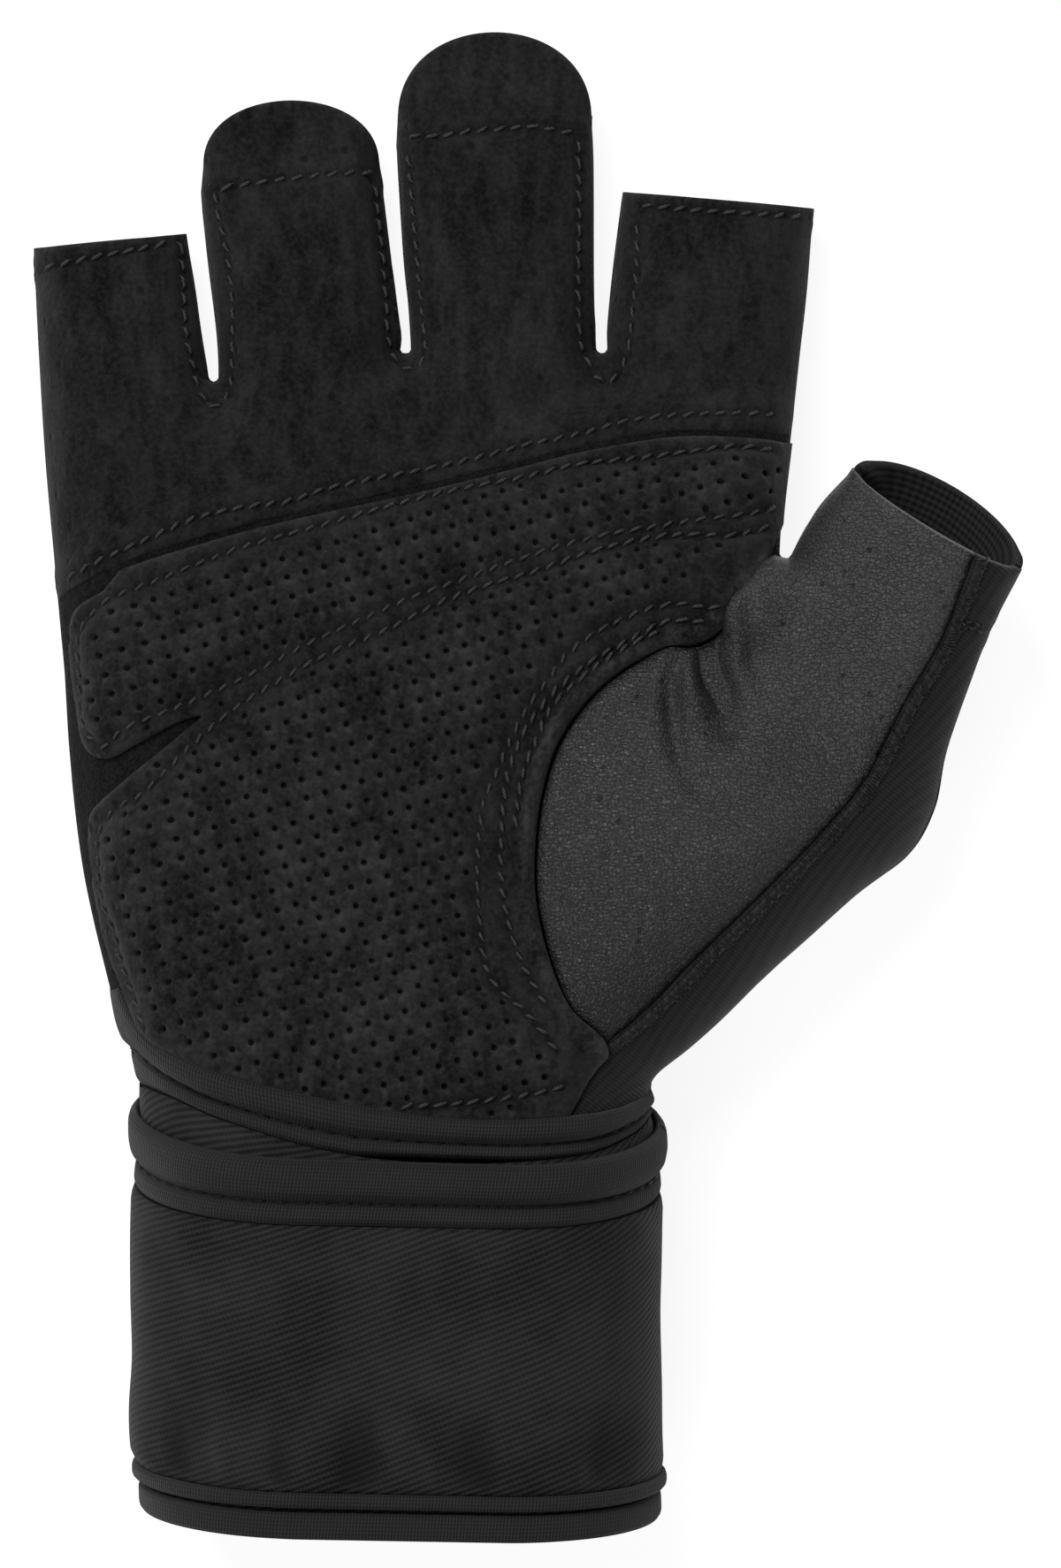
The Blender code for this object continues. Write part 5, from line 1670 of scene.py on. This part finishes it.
def base_finish():
    """The dark looped cloth under the pads."""
    finish = Finish("base_loops", 0.9, 0.08)
    place = finish.place()
    loops = finish.cells(place, 2300.0).between(0.1, 0.75)
    tufts = finish.noise(place, 1100.0, 2.0).between(0.3, 0.7)
    finish.colour(finish.mixed((1.0 - loops) * 0.5 + tufts * 0.4, grey(0.004), grey(0.018)))
    finish.bump(tufts * 0.6 - loops * 0.6, 0.0002)
    return finish.material


def twill_finish():
    """Slanting ribs of the wrist cloth, each broken into short floats."""
    finish = Finish("wrist_twill", 0.8, 0.12, 0.06, 0.4)
    place = finish.place("UV")
    uneven = finish.noise(place, 260.0, 2.0) * 1.6
    rib = finish.along(place, (math.sin(TWILL_SLANT), math.cos(TWILL_SLANT), 0.0))
    run = finish.along(place, (math.cos(TWILL_SLANT), -math.sin(TWILL_SLANT), 0.0))
    ridge = (rib * (2 * math.pi / TWILL_PITCH) + uneven).wave()
    floats = (run * (2 * math.pi / FLOAT_PITCH) + ridge * 1.2 + uneven).wave()
    cloud = finish.noise(place, 80.0, 3.0, 0.6)
    height = ridge * 0.38 + floats * 0.12 + 0.5
    shade = height.between(0.05, 0.95) * 0.6 + cloud.between(0.25, 0.75) * 0.4
    # The seam mark here is the painted shadow in the gathers above the lower binding.
    shade = shade * (1.0 - finish.mark("seam"))
    finish.colour(finish.mixed(shade, grey(0.0040), grey(0.0345)))
    finish.bump(height, 0.00016, 0.9)
    return finish.material


def binding_finish():
    """Knitted tape with fine ribs across its length."""
    finish = Finish("binding_tape", 0.85, 0.12, 0.08, 0.4)
    place = finish.place("UV")
    uneven = finish.noise(place, 400.0, 2.0) * 1.5
    rib = (finish.along(place, (1.0, 0.12, 0.0)) * (2 * math.pi / 0.00042) + uneven).wave()
    course = (finish.along(place, (0.0, 1.0, 0.0)) * (2 * math.pi / 0.00052) + uneven).wave()
    cloud = finish.noise(place, 110.0, 3.0)
    height = rib * 0.35 + course * 0.15 + 0.5
    finish.colour(finish.mixed(height * 0.75 + cloud * 0.25, grey(0.0060), grey(0.0385)))
    finish.bump(height, 0.00016, 0.8)
    return finish.material


def thread_finish(name, light, dark):
    """Twisted sewing thread."""
    finish = Finish(name, 0.6, 0.25)
    place = finish.place()
    twist = (finish.along(place, (0.7, 0.7, 0.3)) * (2 * math.pi / 0.00035)).wave()
    fibre = finish.noise(place, 1800.0, 2.0)
    finish.colour(finish.mixed(twist * 0.25 + fibre * 0.6, grey(dark), grey(light)))
    finish.bump(twist * 0.4 + fibre * 0.4, 0.00006)
    return finish.material


def make_finishes():
    """Every finish of the glove by its name."""
    seam = unit(np.array((0.62, 0.78, 0.0)))
    cross = unit(np.array((0.78, -0.62, 0.25)))
    return {
        "suede": suede_finish("palm_suede_nap", 0.0245, 0.0022),
        "perforated_suede": suede_finish("pad_suede_nap", 0.0260, 0.0025),
        "leather": leather_finish(),
        "base_cloth": base_finish(),
        "rib_knit": knit_finish("thumb_knit", tuple(seam), tuple(cross), 0.00048, 0.00080,
                                0.0260, 0.0075),
        "knit_back": knit_finish("back_knit", None, (0.5, -0.5, 0.6), 0.00086, 0.00055,
                                 0.034, 0.003),
        "twill": twill_finish(),
        "binding_knit": binding_finish(),
        "patch": base_finish(),
        "thread": thread_finish("sewing_thread", 0.095, 0.016),
        "dark_thread": thread_finish("tape_thread", 0.016, 0.004),
        "overlock_yarn": thread_finish("edge_yarn", 0.045, 0.008),
    }


def softbox(name, place, target, size, power):
    """A large soft light that faces the target."""
    light = bpy.data.lights.new(name, "AREA")
    light.shape = "RECTANGLE"
    light.size, light.size_y = size
    light.energy = power
    lamp = bpy.data.objects.new(name, light)
    lamp.location = place
    facing = Vector(target) - Vector(place)
    lamp.rotation_euler = facing.to_track_quat("-Z", "Y").to_euler()
    bpy.context.scene.collection.objects.link(lamp)


def make_studio():
    """A pale floor, soft light from above and a camera straight over the palm."""
    bpy.ops.mesh.primitive_grid_add(x_subdivisions=8, y_subdivisions=8, size=3.0,
                                    location=(0.0, 0.0, 0.0))
    floor = bpy.context.object
    floor.name = "studio_floor"
    floor.data.transform(floor.matrix_world)
    floor.matrix_world.identity()
    paper = Finish("studio_paper", 0.9, 0.0)
    paper.shader.inputs["Base Color"].default_value = (*[FLOOR_GREY] * 3, 1.0)
    paper.shader.inputs["Emission Color"].default_value = (1.0, 1.0, 1.0, 1.0)
    paper.shader.inputs["Emission Strength"].default_value = FLOOR_GLOW
    floor.data.materials.append(paper.material)
    world = bpy.data.worlds.new("studio_air")
    world.use_nodes = True
    world.node_tree.nodes["Background"].inputs[0].default_value = (1.0, 1.0, 1.0, 1.0)
    world.node_tree.nodes["Background"].inputs[1].default_value = AIR_LIGHT
    bpy.context.scene.world = world
    for name, place, size, power in LIGHTS:
        softbox(name, place, (0.0, 0.0, 0.0), size, power)
    middle_x = (PICTURE_SIZE[0] / 2 - PICTURE_CENTRE[0]) * PIXEL - CENTRE[0]
    middle_y = (PICTURE_CENTRE[1] - PICTURE_SIZE[1] / 2) * PIXEL - CENTRE[1]
    camera = bpy.data.cameras.new("studio_camera")
    camera.sensor_fit = "VERTICAL"
    camera.sensor_height = SENSOR * 1000
    reach = CAMERA_HEIGHT - CAMERA_PLANE
    camera.lens = SENSOR * 1000 * reach / (PICTURE_SIZE[1] * PIXEL)
    camera.clip_start = 0.05
    view = bpy.data.objects.new("studio_camera", camera)
    view.location = (middle_x, middle_y, CAMERA_HEIGHT)
    bpy.context.scene.collection.objects.link(view)
    bpy.context.scene.camera = view
    bpy.context.scene.view_settings.view_transform = "Standard"


FINISHES = make_finishes()
add_lower_lines()
make_studio()

suede_shape = suede_outline()
pads_shape = pads_outline()
leather_shape = leather_outline()
gusset_shape = gusset_outline()
back_shape = back_outline()
holes = lattice_holes(pads_shape)
reliefs = {"suede": suede_over(suede_shape), "pads": pads_over(pads_shape, holes),
           "leather": leather_over(leather_shape), "gusset": gusset_over(gusset_shape)}
panel("palm_upper_suede", "palm_suede", suede_shape, 1, reliefs["suede"],
      -SUEDE_THICKNESS, "suede")
panel("palm_base_layer", "palm_base", base_outline(), 1, base_over,
      BASE_TOP - BASE_THICKNESS, "base_cloth")
pads = panel("palm_overlay_pads", "palm_pads", pads_shape, 1, reliefs["pads"], PAD_BASE,
             "perforated_suede", (holes, hole_rings(holes)), HOLE_LIP * 1.4)
panel("thumb_panel", "thumb_leather", leather_shape, 1, reliefs["leather"],
      -CLOTH_THICKNESS, "leather")
panel("thumb_knit_side", "thumb_gusset", gusset_shape, 1, reliefs["gusset"],
      -CLOTH_THICKNESS, "rib_knit")
panel("knit_back_panel", "back_cloth", back_shape, -1, back_over(back_shape),
      -CLOTH_THICKNESS, "knit_back", ribs=back_ribs)
make_wrist()
sew_panels(reliefs)
bind_edges(reliefs)
tape_turns, tape_gone = even_turns(0.0, 2 * SECTION_COUNT)
sew_band("cuff_tape_stitches", "cuff_top", "cuff_flange", tape_turns, tape_gone, CUFF_TAPE)
wound_turns, wound_along = even_turns(LAP_START - 2 * SECTION_COUNT, LAP_END)
sew_band("wrap_tape_stitches", "wrap_top", "wrap_flange", wound_turns, wound_along, WRAP_TAPE)
